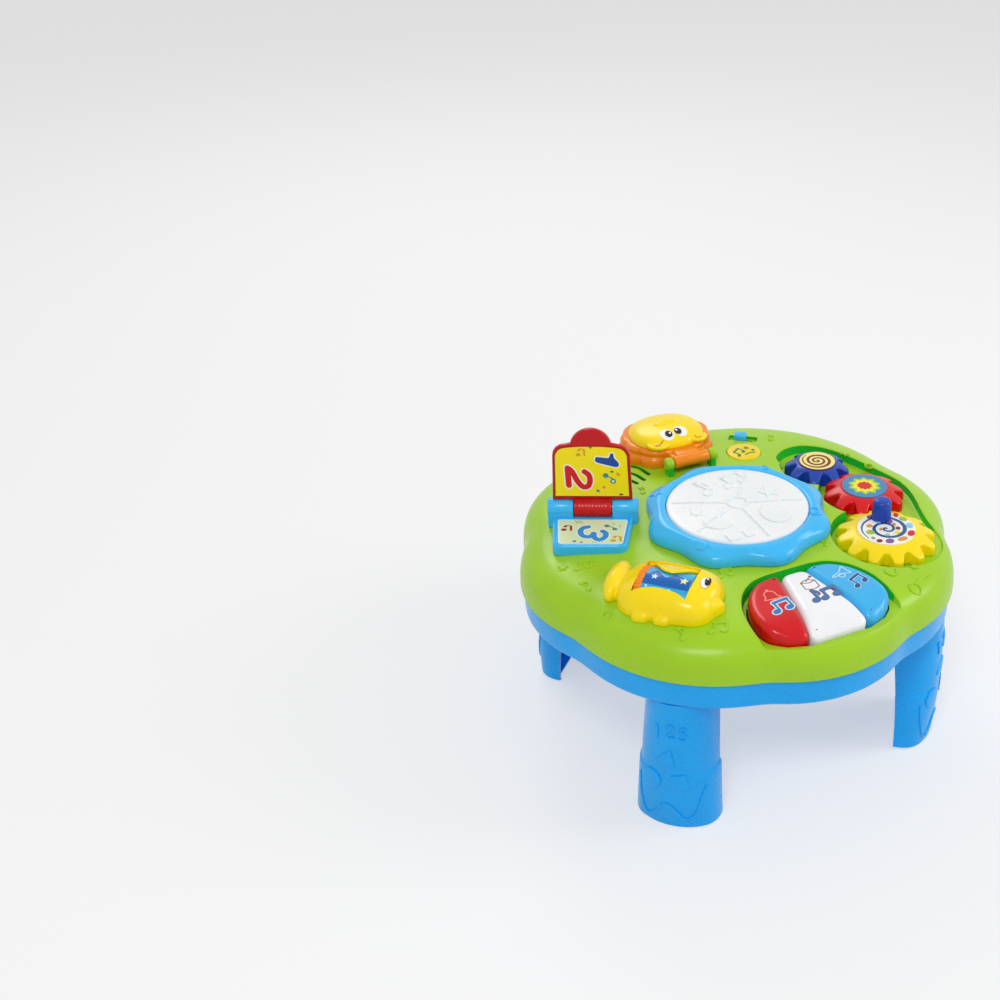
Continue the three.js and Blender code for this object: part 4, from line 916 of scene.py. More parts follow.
def printed(name, layers, frame_matrix, surface=None, step=2.5):
    """A label from layers of (ink, low, high, outlines), drawn flat and then put in its place."""
    inks, parts = [], []
    for ink, low, high, outlines in layers:
        if ink not in inks:
            inks.append(ink)
        bm = bmesh.new()
        plates(bm, outlines, low, high)
        if surface:
            lay_on(bm, surface, step)
        parts.append((bm, inks.index(ink)))
    whole = merged(parts)
    bmesh.ops.transform(whole, matrix=frame_matrix, verts=whole.verts)
    piece = link_mesh(name, whole, None)
    for ink in inks:
        piece.data.materials.append(ink)
    return piece


def embossed(name, outlines, plastic, height, surface, edge=0.25, sink=0.5, step=2.5):
    """Low plates in the plastic of the piece below."""
    bm = bmesh.new()
    plates(bm, outlines, -sink, height, edge)
    lay_on(bm, surface, step)
    return link_mesh(name, bm, plastic)


def even_steps(points, count):
    """Spaces a closed outline evenly, so that insets stay smooth."""
    points = [Vector(p) for p in points]
    lengths = [(points[(i + 1) % len(points)] - p).length for i, p in enumerate(points)]
    total = sum(lengths)
    spaced, i, walked = [], 0, 0.0
    for k in range(count):
        goal = total * k / count
        while walked + lengths[i] < goal:
            walked += lengths[i]
            i += 1
        spaced.append(points[i].lerp(points[(i + 1) % len(points)], (goal - walked) / max(lengths[i], 1e-9)))
    return spaced


# %% Shapes moulded into the deck
def deck_surface(x, y, out):
    place = on_table(x, y)
    return place + Vector((0, 0, (deck_height(place.x, place.y) + out) * MM))


DECK_SHAPES = (
    moved(beamed_quavers(), -119, -8, -20, 0.85) + moved(quaver(), -128, -30, 30, 0.9)
    + ring_line(-126, -61, 2.6) + moved(quaver(), -95, -102, 15, 0.85)
    + moved(beamed_quavers(), -71, -108, -25, 0.9) + moved(beamed_quavers(), -41, -60, -10, 0.85)
    + moved(quaver(), 35, -59, 20, 0.6)
    + [stroke([(57, -101), (55.5, -105), (58, -109), (62, -108), (64, -103)], 1.1)]
    + ring_line(66, -124, 4) + [stroke([(69, -121), (76, -117), (84, -114)], 2.2),
    star(5, 3, 1.4, (77, -106))]
    + moved(quaver(), -46, 60, 10, 0.8) + [star(5, 4, 1.9, (118, 46)), star(5, 4, 1.9, (-132, -3), 60)]
    + ring_line(124, 22, 3) + moved(quaver(), 78, 92, -10, 0.8) + ring_line(14, 122, 3)
    + moved(beamed_quavers(), -22, 124, 0, 0.8) + [star(5, 4, 1.9, (-100, 84)), star(5, 4, 1.9, (97, -79))]
)
dress(embossed("deck_shapes_moulding", DECK_SHAPES, leaf_green, 0.85, deck_surface, 0.35), "table",
    "leaf_green")

# %% Shapes moulded into the legs
LEG_NUMBERS = [
    [stroke([(-11.5, 83.5), (-9.6, 85.6), (-9.6, 76)], 1.5, 2)],
    [stroke([(-2.6, 86), (-0.2, 88.2), (2.4, 86.4), (1.4, 83), (-2.4, 78.6), (2.8, 78.6)], 1.5, 4)],
    [stroke([(6.6, 85), (8.8, 86.6), (11, 84.6), (8.9, 82.2), (11.6, 79.6), (9, 76.6), (6.4, 78.2)], 1.5, 4)],
]
LEG_SHAPES = sum(LEG_NUMBERS, []) + [
    rounded([(0.5, 69), (-10.5, 57.5), (3.6, 54.5)], 1, 3), blob(-14, 39.5, 7.8),
    rounded([(0.4, 46.5), (10.4, 48.4), (13.4, 36.6), (3, 33.6)], 1, 3),
    stroke([(-27, 37), (-25, 22), (-20, 9), (-15, 6.4), (-10, 11.5), (-5.5, 18.6), (-1, 20), (3, 16.5),
    (8, 9.4), (12.6, 9), (17, 14.5),
            (21, 25), (26, 37)], 1.6),
]


def emboss_leg(name, degrees):
    """Looks at the leg from outside, and lays the drawings on the skin that it sees."""
    outward = Matrix(((0, 0, 1, 0), (1, 0, 0, 0), (0, 1, 0, 0), (0, 0, 0, 1)))
    skin = down_onto(legs[name], turned_frame(on_table(0, 0), degrees) @ outward, 220)

    def surface(along, z, out):
        return skin(math.sin(along / 26) * (57 - 10 * z / LEG_TOP) / 2, z, out)

    shapes = embossed(name + "_shapes_moulding", LEG_SHAPES, tray_blue, 0.9, surface, 0.35, step=2.0)
    dress(shapes, LEG_BODIES[name], "sky_blue")


for name, degrees in LEG_ANGLES.items():
    emboss_leg(name, degrees)

# %% [markdown]
# ## The drum
# The drum is a scalloped blue ring round a white pressed head. Both are round shapes, so the ring is a
# closed loop of rings and the head is one spun profile, a shallow crown with a skirt and a stem below.

# %% Drum
DRUM_Z = 156.3
DRUM_TOP = 167.6


def drum_ring_at(inset, z, scallop=1.0):
    ring = []
    for i in range(192):
        a = 2 * math.pi * i / 192
        radius = 63.24 + 2.8 * scallop * math.cos(8 * a) - inset
        ring.append(mm(drum_place.x + math.cos(a) * radius, drum_place.y + math.sin(a) * radius, z))
    return ring


def make_drum_ring():
    bm = bmesh.new()
    profile = smooth_line([
        (0.6, DRUM_Z, 1), (0, DRUM_Z + 0.8, 1), (-0.1, DRUM_Z + 2.8, 1), (0.4, DRUM_Z + 5.2, 1),
        (1.9, DRUM_Z + 7.6, 0.9), (4.4, DRUM_Z + 9.4, 0.6), (7.4, DRUM_TOP - 0.15, 0.3),
        (10.2, DRUM_TOP, 0.1), (12.6, DRUM_TOP - 0.35, 0),
        (13.45, DRUM_TOP - 1.3, 0),
    ], 4)
    rings = [drum_ring_at(*level) for level in profile]
    rings.append(drum_ring_at(13.45, DRUM_Z, 0))
    grow_rings(bm, rings, ring_closed=True)
    return dress(link_mesh("drum_ring_moulding", bm, ring_blue), "table", "pale_blue", "drum_ring")


def make_drum_head():
    bm = bmesh.new()
    crown = [(49.4, 161), (49.4, 165.6), (49.25, 166.8), (48.8, 167.5), (47.8, 167.9)]
    crown += [(47.8 * (1 - t / 12), 167.9 + 1.1 * math.sin(math.pi / 2 * t / 12)) for t in range(1, 12)]
    profile = [(0, 144.6), (5, 144.6), (5, 165.4), (47, 164.7), (47, 161)] + crown + [(0, 169)]
    spin_profile(bm, profile, mm(drum_place.x, drum_place.y), 96)
    return dress(link_mesh("drum_head_moulding", bm, milk_white), "drum", "milky_white", "drum_pad")


drum_ring = make_drum_ring()
drum_head = make_drum_head()

# %% Shapes on the drum


def on_top_of(piece):
    """A surface for drawings: straight down onto a piece, in the frame of the drum's middle."""
    height = height_finder(piece)

    def surface(x, y, out):
        place = mm(drum_place.x + x, drum_place.y + y)
        return place + Vector((0, 0, (height(place.x, place.y, 165) + out) * MM))

    return surface


def spoke(degrees, start, end, width=1.5):
    a = math.radians(degrees)
    return stroke([(math.cos(a) * r, math.sin(a) * r) for r in (start, end)], width, 2)


HEAD_SHAPES = [spoke(degrees, 9, 45) for degrees in (-90, -18, 54, 152, 206)] + ring_line(0, 0, 7, 1.2) + [
    blob(17.5, -23, 10.5, 12), rounded([(-31, -8), (-17, -12), (-15, -24), (-27, -25), (-34, -17)], 3, 4),
    rounded([(-27, -32), (-18, -32), (-18, -40.5), (-27, -40.5)], 1, 3),
    rounded([(-14.5, -33), (-8, -33), (-8, -41), (-14.5, -41)], 1, 3),
    star(5, 8, 3.8, (27, 4)), blob(-30, 3, 6, 4, 60),
] + moved(beamed_quavers(), 12, 30, 10, 1.5) + moved(quaver(), -14, 27, 20, 1.7)
dress(embossed("drum_head_shapes", HEAD_SHAPES, milk_white, 1.0, on_top_of(drum_head), 0.3), "drum",
    "milky_white")
RING_SHAPES = (
    [rounded([(-47, -28.5), (-40, -31), (-41, -38), (-47, -38.5), (-50, -34)], 1.5, 4)]
    + ring_line(43, -30, 3.6, 1.2)
    + [stroke([(40, -34), (44.5, -36), (48, -33)], 1.4), star(5, 4.6, 2.2, (-43.5, 39.5))]
    + moved(quaver(), 42.5, 38, 0, 0.75)
)
dress(embossed("drum_ring_shapes", RING_SHAPES, ring_blue, 0.85, on_top_of(drum_ring), 0.3), "table",
    "pale_blue")

# %% [markdown]
# ## Piano keys
# Three keys fill a fan. Each is a soft block whose top edge is well rounded, because small hands press it
# all day. The rings follow the outline of the key, drawn in a little more at each level.

# %% Keys
KEY_GAP = 0.7
KEY_LEVELS = [(0.5, 140), (0, 140.6), (0, 152.6), (0.12, 153.8), (0.5, 155), (1.1, 156), (1.9, 156.7),
    (2.8, 157.15),
              (3.8, 157.4), (4.9, 157.5)]


def key_outlines():
    middle = [fan_point(KEY_MIDDLE[1], -1), fan_point(KEY_MIDDLE[1], 1), fan_point(KEY_MIDDLE[0], 1),
        fan_point(KEY_MIDDLE[0], -1)]
    outer = smooth_line([fan_point(share, -1) for share in KEY_OUTER], 6)
    back = fan_point(KEY_MIDDLE[0], -1) - Vector((KEY_GAP, 0))
    front = fan_point(KEY_MIDDLE[1], -1) - Vector((KEY_GAP, 0))
    left = [back] + outer + [front]
    right = [Vector((2 * KEY_CENTRE_X - p.x, p.y)) for p in reversed(left)]
    return {"key_left": left, "key_middle": middle, "key_right": right}


def roll_front(bm):
    """Lets the tops of the keys fall away towards the front, as a thumb expects."""
    cut_into_cells(bm, 3)
    for vert in bm.verts:
        x, y, z = vert.co / MM
        fall = 7.5 * max(0, (KEY_BACK_Y - 41 - y) / 23) ** 2
        vert.co.z -= fall * max(0, (z - SHELF) / 11.5) * MM


def make_key(name, outline, body, slot, plastic):
    soft = even_steps(rounded(outline, 6.5, 8), 200)
    bm = bmesh.new()
    grow_rings(bm, [at_height(grown(soft, -inset), z) for inset, z in KEY_LEVELS], cap_first=True,
        cap_last=True)
    roll_front(bm)
    return dress(link_mesh(name + "_moulding", bm, plastic), body, slot, name)


KEY_LOOKS = {"key_left": ("red_key", "toy_red", key_red), "key_middle": ("white_key", "white", key_white)}
KEY_LOOKS["key_right"] = ("blue_key", "pale_blue", key_blue)
for name, outline in key_outlines().items():
    make_key(name, outline, *KEY_LOOKS[name])

# %% [markdown]
# ## Symbols on the keys
# The tops of the keys are printed. Each carries a thin outline of an instrument and a bold note below it.
# The print is a few hundredths of a millimetre of ink, so it is a stack of very thin plates on the key.

# %% Key prints


def ink(name, code):
    return moulded(name, code, gloss=0.32, cloud=0.04, grain=500, depth=0.00001)


ink_pink, ink_brown = ink("ink_pink", "f6a08c"), ink("ink_brown", "7d5348")
ink_blue, ink_navy, ink_pale = ink("ink_blue", "2f72b4"), ink("ink_navy", "274f8c"), ink("ink_pale", "c4e6f8")
ink_red, ink_crimson = ink("ink_red", "d8141c"), ink("ink_crimson", "9c1c14")


def closed_line(points, width=0.75, steps=4):
    """A closed outline drawn as a line, in two strokes."""
    points = [Vector(p) for p in points]
    half = len(points) // 2
    return [stroke(points[:half + 1], width, steps), stroke(points[half:] + points[:1], width, steps)]


BELL = [(-1.2, 5), (-3.6, 3), (-4.4, -1.5), (-6, -4), (0, -4.6), (6, -4), (4.4, -1.5), (3.6, 3), (1.2, 5)]
HORN = [(-6.5, 0.8), (-1, 1.2), (2.5, 2.4), (6, 4.6), (6, 0), (6, -4.6), (2.5, -2.4), (-1, -1.2),
    (-6.5, -0.8)]
bell = closed_line(BELL) + [blob(0, -6, 1.3), blob(0, 6.2, 1)]
toy_drum = [stroke([(-5, 4), (-5, -3.4)], 0.75), stroke([(5, 4), (5, -3.4)], 0.75),
    stroke([(-5, -3.4), (0, -5), (5, -3.4)], 0.75)]
toy_drum += closed_line([(5, 4), (0, 6), (-5, 4), (0, 2.3)]) + [stroke([(-1, 4.6), (4, 8.6)], 0.8),
    blob(4, 8.6, 1.1)]
horn = closed_line(HORN) + ring_line(-1, -2.6, 2.1, 0.75)
KEY_PRINTS = {
    "key_left": [
        (ink_pink, moved(bell, -28.3, -97.5, -3, 0.95)),
        (ink_pale, haloed(moved(beamed_quavers(), -27.6, -110.5, 0, 1.1), 0.95)),
        (ink_blue, moved(beamed_quavers(), -27.6, -110.5, 0, 1.1)),
    ],
    "key_middle": [
        (ink_brown, moved(toy_drum, 0.6, -98.5, -4, 1.0)),
        (ink_brown, haloed(moved(quaver(), -4.5, -111, 0, 1.1), 0.5)),
        (ink_brown, haloed(moved(beamed_quavers(), 7, -111.3, 0, 1.0), 0.5)),
        (ink_blue, moved(quaver(), -4.5, -111, 0, 1.1) + moved(beamed_quavers(), 7, -111.3, 0, 1.0)),
    ],
    "key_right": [
        (ink_pale, moved(horn, 25, -95.5, 18, 1.0)),
        (ink_pale, haloed(moved(beamed_quavers(), 31, -108, 18, 0.95), 0.45)),
        (ink_navy, moved(beamed_quavers(), 31, -108, 18, 0.95)),
    ],
}
for name, prints in KEY_PRINTS.items():
    layers = [(colour, -0.3, 0.04 + 0.05 * i, outlines) for i, (colour, outlines) in enumerate(prints)]
    label = printed(name + "_print", layers, Matrix.Translation(on_table(0, 0, 157.5)))
    dress(label, KEY_LOOKS[name][0], "printed_label")

# %% [markdown]
# ## Toy gears
# The gears have fat rounded teeth that a toddler can't pinch a finger in. A tooth is a few points, and the
# smooth line through all of them is the outline. The rings then taper a little, as moulded gears do.

# %% Gears
GEAR_LOW = 147.3
TOOTH = [(-0.37, 0), (-0.27, 0.42), (-0.17, 0.9), (0, 1.0), (0.17, 0.9), (0.27, 0.42), (0.37, 0),
    (0.5, -0.08)]
GEAR_LOOKS = {
    "gear_small": (324, "small_gear", "navy_blue", deep_blue),
    "gear_medium": (-90, "medium_gear", "toy_red", gear_red),
    "gear_large": (72, "large_gear", "toy_yellow", sun_yellow),
}
GEAR_LEVELS = [0, 0.4, 3, 5.4, 6.2, 6.9, 7.6, 8.4, 9.2, 10, 10.8, 11.25, 11.5, 11.6]
GEAR_RIMS = {"gear_small": 14.8, "gear_medium": 17.4, "gear_large": 21.3}


def gear_outline(name, phase):
    gear = GEARS[name]
    root = gear["outer"] - 6.8
    points = []
    for tooth in range(gear["teeth"]):
        for along, out in TOOTH:
            a = math.radians(phase) + (tooth + along) * 2 * math.pi / gear["teeth"]
            points.append(Vector((math.cos(a), math.sin(a))) * (root + 6.8 * out))
    return smooth_line(points, 3, closed=True)


def gear_ring(name, teeth, up):
    """The toothed outline, held back by a cone that leads from the rim of the label down to the tips."""
    rim, outer = GEAR_RIMS[name], GEARS[name]["outer"]
    cone = rim + (outer - rim) * min(1.3, (GEAR_LEVELS[-1] - up) / 5.6) ** 0.8
    ring = []
    for point in teeth:
        tooth = point.length - 0.07 * up - (0.5 if up == 0 else 0)
        blend = max(0, 1.6 - abs(tooth - cone))
        ring.append(gear_places[name] + point.normalized() * (min(tooth, cone) - blend * blend / 6.4))
    return at_height(ring, GEAR_LOW + up)


def make_gear(name, phase, body, slot, plastic):
    teeth = gear_outline(name, phase)
    bm = bmesh.new()
    grow_rings(bm, [gear_ring(name, teeth, up) for up in GEAR_LEVELS], cap_first=True, cap_last=True)
    return dress(link_mesh(name + "_moulding", bm, plastic), body, slot, name)


for name, look in GEAR_LOOKS.items():
    make_gear(name, *look)

# %% [markdown]
# ## Gear labels
# A round label is stuck on each gear: a spiral, a star in a star, and a long spiral among dots. A spiral is
# one brush stroke whose distance from the middle grows as it turns.

# %% Labels on the gears


def spiral(turns, reach, power, start, width, ends=(0.5, 1), way=1, tail=0.0):
    """Points of a spiral from the middle out; its far end is at the start angle."""
    points = []
    steps = int(turns * 16)
    for i in range(steps + 1):
        share = i / steps
        a = math.radians(start) - way * (1 - share) * turns * 2 * math.pi
        points.append((math.cos(a) * reach * share ** power, math.sin(a) * reach * share ** power))
    bands = [stroke(points[:-8], width, 2, ends)]
    return bands + [stroke(points[-9:], width * ends[1], 2, (1, tail or 1))]


label_cream, label_white = ink("label_cream", "f7e68a"), ink("label_white", "f4f4ee")
label_sky, label_lime = ink("label_sky", "3d88b8"), ink("label_lime", "a6cf33")
label_sun = ink("label_sun", "fbe928")
dot_orange, dot_purple = ink("dot_orange", "dd9430"), ink("dot_purple", "7c5a94")
dot_grey = ink("dot_grey", "9a9a86")
dot_lime, dot_light = ink("dot_lime", "a2c02c"), ink("dot_light", "94c4ee")
dot_mint = ink("dot_mint", "a8cdb0")
bark_ink_and_rim_shade, ink_deep = ink("bark_ink_and_rim_shade", "742a12"), ink("ink_deep", "1d5590")
GEAR_DOTS = [
    (dot_orange, -9, 8.5, 2.4, 2.2, 0), (dot_lime, -13, 1, 3.0, 3.0, 0), (dot_grey, -15.5, -6.5, 1.4, 1.6, 0),
    (ink_crimson, -13.5, -11.5, 2.2, 2.0, 0), (dot_purple, -7, -15, 3.1, 2.7, 0),
    (dot_orange, 2.8, -16.6, 3.9, 2.2, 0),
    (ink_red, 12.4, -13.2, 3.6, 2.5, 40), (dot_light, 17.2, -4, 2.3, 3.2, -20),
    (dot_lime, 18, 5.5, 2.0, 3.2, 20),
    (ink_crimson, 7.6, -3.4, 1.5, 1.7, 0), (dot_orange, 8.0, 2.0, 1.1, 1.4, 0),
    (dot_purple, 6.8, 6.4, 2.5, 1.9, 0),
    (label_sun, 4.4, -8.2, 1.8, 1.6, 0), (dot_mint, -4.6, -8, 1.7, 1.4, 0),
    (dot_orange, -4.4, 0.6, 1.0, 1.2, 0),
    (dot_light, 0.5, 9.6, 2.8, 1.6, 0), (dot_lime, 9, 17, 2.2, 1.8, 0), (ink_red, 16, 12, 1.7, 2.1, 0),
    (dot_purple, -2.5, 18.4, 2.2, 1.3, 0),
]


def gear_label(name, body, size, layers):
    low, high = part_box(name + "_label")
    middle = (low + high) / 2
    disc_low = (158.7 - high.z / MM)
    stack = [(colour, disc_low, 0.001 + 0.06 * i, outlines) for i, (colour, outlines) in enumerate(layers)]
    place = Matrix.Translation(Vector((middle.x, middle.y, high.z))) @ Matrix.Diagonal((size, size, 1, 1))
    label = printed(name + "_label_print", stack, place)
    dress(label, body, "printed_label", name + "_label")


gear_label("gear_small", "small_gear", 0.93, [
    # The dark ring round the cream disc is painted shade for the label's recess; the spiral in the same brown
    # is print.
    (bark_ink_and_rim_shade, [blob(0, 0, 14.75, steps=72)]), (label_cream, [blob(0, 0, 14.2, steps=72)]),
    (bark_ink_and_rim_shade, spiral(2.9, 12.3, 1.0, 108, 2.5, (0.55, 1.0), -1, 0.25)),
])
gear_label("gear_medium", "medium_gear", 0.93, [
    (label_sky, [blob(0, 0, 17.4, steps=72)]), (label_lime, [star(10, 13.2, 10.2, degrees=97)]),
    (label_sun, [star(10, 10.6, 7.8, degrees=97)]), (ink_red, [star(10, 6.4, 4.9, degrees=97)]),
])
gear_label("gear_large", "large_gear", 0.96, [
    (label_white, [blob(0, 0, 20.9, steps=80)]),
    (ink_deep, spiral(2.55, 19.0, 1.3, 196, 3.0, (0.42, 1.0), 1, 0.2)),
] + [(colour, [blob(*place_and_size)]) for colour, *place_and_size in GEAR_DOTS])

# %% [markdown]
# ## The crank knob
# A stub to turn the large gear by: a waisted post with a domed end, spun from one profile.

# %% Crank knob
crank_low, crank_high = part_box("crank_knob")
crank_place = (crank_low + crank_high) / 2
bm = bmesh.new()
foot = crank_low.z / MM
spin_profile(bm, [
    (0, foot), (7, foot), (7.05, foot + 0.6), (6.85, foot + 1.6), (6.7, foot + 5), (6.5, foot + 10),
    (6.3, foot + 12.4),
    (5.9, foot + 13.6), (5.2, foot + 14.3), (4.2, foot + 14.7), (3, foot + 14.9), (1.5, foot + 14.98),
    (0, foot + 15),
], Vector((crank_place.x, crank_place.y, 0)) + mm(0, 1.6, 0), 48)
dress(link_mesh("crank_knob_moulding", bm, deep_blue), "large_gear", "navy_blue", "crank_knob")

# %% [markdown]
# ## The flip book
# A red page swings on a fat blue hinge, over a base with the next picture. The hinge barrels are spun
# about the hinge line, with rounded shoulders. The page is a plate with its corners and edges rounded.

# %% Book frame and barrels
BOOK_PLACE = on_table(155 * -0.59, 155 * 0.255, 165.5)
book_frame = turned_frame(BOOK_PLACE, -26.6)


def spin_bar(bm, profile, place=(0, 0, 0), steps=40):
    """Turns a profile of (distance along X, radius) points round a line along X."""
    place = mm(*place)
    verts = [bm.verts.new(place + mm(x, 0, r)) for x, r in profile]
    edges = [bm.edges.new(pair) for pair in zip(verts, verts[1:])]
    bmesh.ops.spin(bm, geom=verts + edges, cent=place, axis=(1, 0, 0), angle=2 * math.pi, steps=steps,
        use_merge=True)
    bmesh.ops.remove_doubles(bm, verts=bm.verts, dist=1e-6)


def barrel(bm, start, end, radius, round_off=0.8, place=(0, 0, 0), steps=40):
    spin_bar(bm, [
        (start, 0), (start, radius - round_off), (start + round_off * 0.3, radius - round_off * 0.3),
        (start + round_off, radius),
        (end - round_off, radius), (end - round_off * 0.3, radius - round_off * 0.3),
        (end, radius - round_off), (end, 0),
    ], place, steps)


def make_book_base():
    bm = bmesh.new()
    for side in (-1, 1):
        ends = sorted((side * 13.3, side * 31))
        barrel(bm, ends[0], ends[1], 6.8)
        middle = Vector(((ends[0] + ends[1]) / 2, 0))
        slab(bm, turned_box(middle, ends[1] - ends[0] - 0.3, 13.5, 0, 0.6), -12, 0)
    half = [(27.5, 6), (27.5, -6.8), (25, -40), (21, -42.5)]
    outline = [Vector((-x, y)) for x, y in half] + [Vector((x, y)) for x, y in reversed(half)]
    soft = even_steps(rounded(outline, 3.5, 6), 120)
    levels = [(0, -12), (0, -6), (0.25, -5.0), (0.8, -4.4), (1.5, -4.2), (2.0, -4.5), (2.4, -5.2),
        (2.9, -5.2), (3.2, -4.9)]
    grow_rings(bm, [at_height(grown(soft, -inset), z) for inset, z in levels], cap_first=True, cap_last=True)
    bmesh.ops.transform(bm, matrix=book_frame, verts=bm.verts)
    base = link_mesh("book_base_moulding", bm, ring_blue)
    return dress(base, "table", "sky_blue", "book_base")


def page_outline():
    low, high = 7.3, 49.3
    side = [(27.25, low), (26, high - 8), (25.5, high - 5.2), (23.6, high - 2.4), (20.8, high - 0.6),
        (17.5, high)]
    tab = [(14 * math.cos(a), high - 2 + 14 * math.sin(a))
        for a in [math.radians(d) for d in range(12, 91, 6)]]
    right = side + tab[:-1]
    left = [Vector((-x, y)) for x, y in reversed(right)]
    return [Vector(p) for p in right] + [Vector((0, high + 12))] + left


def make_page():
    bm = bmesh.new()
    outline = page_outline()
    levels = [(0.9, -2), (0.3, -1.75), (0, -1.1), (0, 1.1), (0.3, 1.75), (0.9, 2)]
    grow_rings(bm, [at_height(grown(outline, -inset), z) for inset, z in levels], cap_first=True,
        cap_last=True)
    bmesh.ops.rotate(bm, cent=(0, 0, 0), matrix=Matrix.Rotation(math.radians(90), 3, "X"), verts=bm.verts)
    profile = [(-13, 0), (-13, 6.0), (-12.6, 6.5)]
    for x in (-9, -4.5, 0, 4.5, 9):
        profile += [(x - 1.5, 6.6), (x - 0.9, 6.75), (x, 6.8), (x + 0.9, 6.75), (x + 1.5, 6.6)]
    spin_bar(bm, profile + [(12.6, 6.5), (13, 6.0), (13, 0)], steps=48)
    neck = [Vector((-13, -3.2)), Vector((13, -3.2)), Vector((13, 3.2)), Vector((-13, 3.2))]
    slab(bm, neck, 0, 8.2)
    bmesh.ops.transform(bm, matrix=book_frame, verts=bm.verts)
    return dress(link_mesh("book_page_moulding", bm, page_red), "page", "toy_red", "book_page")


page_red = moulded("page_red", "c4000a", gloss=0.22)
make_book_base()
make_page()

# %% [markdown]
# ## Pictures in the book
# The label on the page has a yellow ground in a red border, a blue 1, a red 2 and a few notes and dots. The
# base shows a blue 3. The numbers lie on their sides, as they do on the toy. Each has a pale border, which
# is its own outline grown by a millimetre.

# %% Book labels
PAGE_YELLOW, PAGE_EDGE = ink("page_yellow", "ffe60a"), ink("page_edge", "9e1208")
BASE_CREAM, dot_teal = ink("base_cream", "d9e9bd"), ink("dot_teal", "3f8e9a")
number_blue, number_red = ink("number_blue", "1d4ba0"), ink("number_red", "d80c18")
number_sky = ink("number_sky", "1c92de")
dot_amber, dot_leaf = ink("dot_amber", "d8a23a"), ink("dot_leaf", "3c8a4c")
ONE = [rounded([(3, 41), (2.6, 37.4), (5, 36.2), (17, 33), (18.8, 34.2), (18.4, 36.6), (15.4, 40.2),
    (15, 43.6), (13.2, 43.8), (12, 40)], 1, 3)]
TWO = [stroke([(-16, 32.4), (-15.8, 24), (-15.6, 18.8)], 4.0, 3),
       stroke([(-15.6, 32.2), (-13, 29.4), (-9.8, 22.4), (-6.4, 18), (-2.8, 18.2), (-1.2, 22.6), (-2, 27),
       (-4.8, 29.6)], 3.9)]
THREE = [stroke([(-2.4, -18.4), (-6, -20), (-7.4, -24.6), (-5.6, -29.4), (-1.6, -31), (1.6, -28.4),
    (1.6, -26.6)], 4.0),
         stroke([(1.4, -28), (3, -32.6), (6.2, -34.6), (9.4, -31.4), (9.8, -26.6), (7.6, -23.8)], 4.0)]
SIDE_NOTE = [blob(-1.8, 1.9, 1.2, 1.0), blob(-2.4, -2.0, 1.8, 1.4), stroke([(1.9, 2.2), (2.2, -2.4)], 1.5),
    stroke([(-1.4, 3.1), (1.9, 2.6)], 0.7)]
page_label = [Vector(p) for p in (
    (-25.9, 9.6), (25.9, 9.6), (24.9, 41.2), (24.3, 43.6), (22.6, 46.2), (20, 47.9), (16.6, 48.6),
    (8, 49.4), (-8, 49.4), (-16.6, 48.6),
    (-20, 47.9), (-22.6, 46.2), (-24.3, 43.6), (-24.9, 41.2),
)]
page_face = Matrix(((1, 0, 0, 0), (0, 0, -1, -2 * MM), (0, 1, 0, 0), (0, 0, 0, 1)))
label = printed("book_page_label_print", [
    (PAGE_EDGE, -0.3, 0.22, [page_label]),
    (PAGE_YELLOW, -0.3, 0.28, [grown(even_steps(page_label, 120), -0.9)]),
    (label_white, -0.3, 0.33, haloed(ONE + TWO, 0.85)), (number_blue, -0.3, 0.4, ONE),
    (number_red, -0.3, 0.4, TWO),
    (dot_amber, -0.3, 0.36, moved(SIDE_NOTE, -6.2, 44.3, 0, 0.9)
    + [blob(8, 17.4, 1.1), blob(17.6, 27.6, 0.9), stroke([(17, 29), (19, 27.8), (18.4, 26)], 0.5)]),
    (dot_teal, -0.3, 0.36, [blob(9.4, 26.6, 1.9), blob(14.4, 22.2, 2.0),
    stroke([(9.8, 26.2), (14, 24.4), (16, 21.4)], 0.8), blob(4, 14.6, 1.2, 1.0)]),
    (label_white, -0.3, 0.4, [blob(14.4, 22.2, 0.9)]),
    (dot_leaf, -0.3, 0.36, [blob(0, 48, 1.0, 0.7), blob(13.8, 29.6, 1.1, 0.9)]),
    (ink_crimson, -0.3, 0.36, [blob(19.6, 11.8, 1.4, 0.8)]),
], book_frame @ page_face)
dress(label, "page", "printed_label", "book_page_label")
base_label = rounded([(-23.9, -8.8), (-21.2, -39), (21.6, -39), (24.1, -8.8)], 2.4, 5)
label = printed("book_base_label_print", [
    (label_white, -0.9, 0.0, [base_label]),
    (BASE_CREAM, -0.9, 0.06, [grown(even_steps(base_label, 120), -0.7)]),
    (label_white, -0.9, 0.12, haloed(THREE, 0.8)), (number_sky, -0.9, 0.2, THREE),
    (ink_crimson, -0.9, 0.14, moved(SIDE_NOTE, -16.2, -19.8, 0, 1.05) + [blob(-6, -37.6, 0.9, 0.7)]),
    (dot_teal, -0.9, 0.14, [blob(10, -17, 1.7), blob(15.6, -21, 1.8, 1.4),
    stroke([(10, -17), (14, -18.8), (16.2, -20.4)], 0.7), blob(-10.6, -36.4, 1.2)]),
    (dot_amber, -0.9, 0.14, moved(SIDE_NOTE, 17.8, -33.2, 0, 1.1)
    + [blob(14.6, -14.4, 0.8), stroke([(18.2, -15.6), (19.6, -17), (18.6, -18.4)], 0.5)]),
    (dot_leaf, -0.9, 0.12, [stroke([(x, -10.4), (x + 1.4, -13.8)], 0.35, 2) for x in (-11.6, -9.8, -8)]
     + [stroke([(x, -36.6), (x - 0.3, -38.2)], 0.35, 2) for x in (2, 4, 6, 8)]),
], book_frame @ Matrix.Translation(mm(0, 0, -4.5)))
dress(label, "table", "printed_label", "book_base_label")

# %% [markdown]
# ## Soft toy figures
# The fish and the lion are puffy figures with no straight line in them. Their lumps are drawn as squashed
# balls, melted into one skin by a voxel remesh, and smoothed. That gives the filleted joints of a mould
# at once, where a hand-made mesh would need every blend drawn.

# %% Melting lumps together


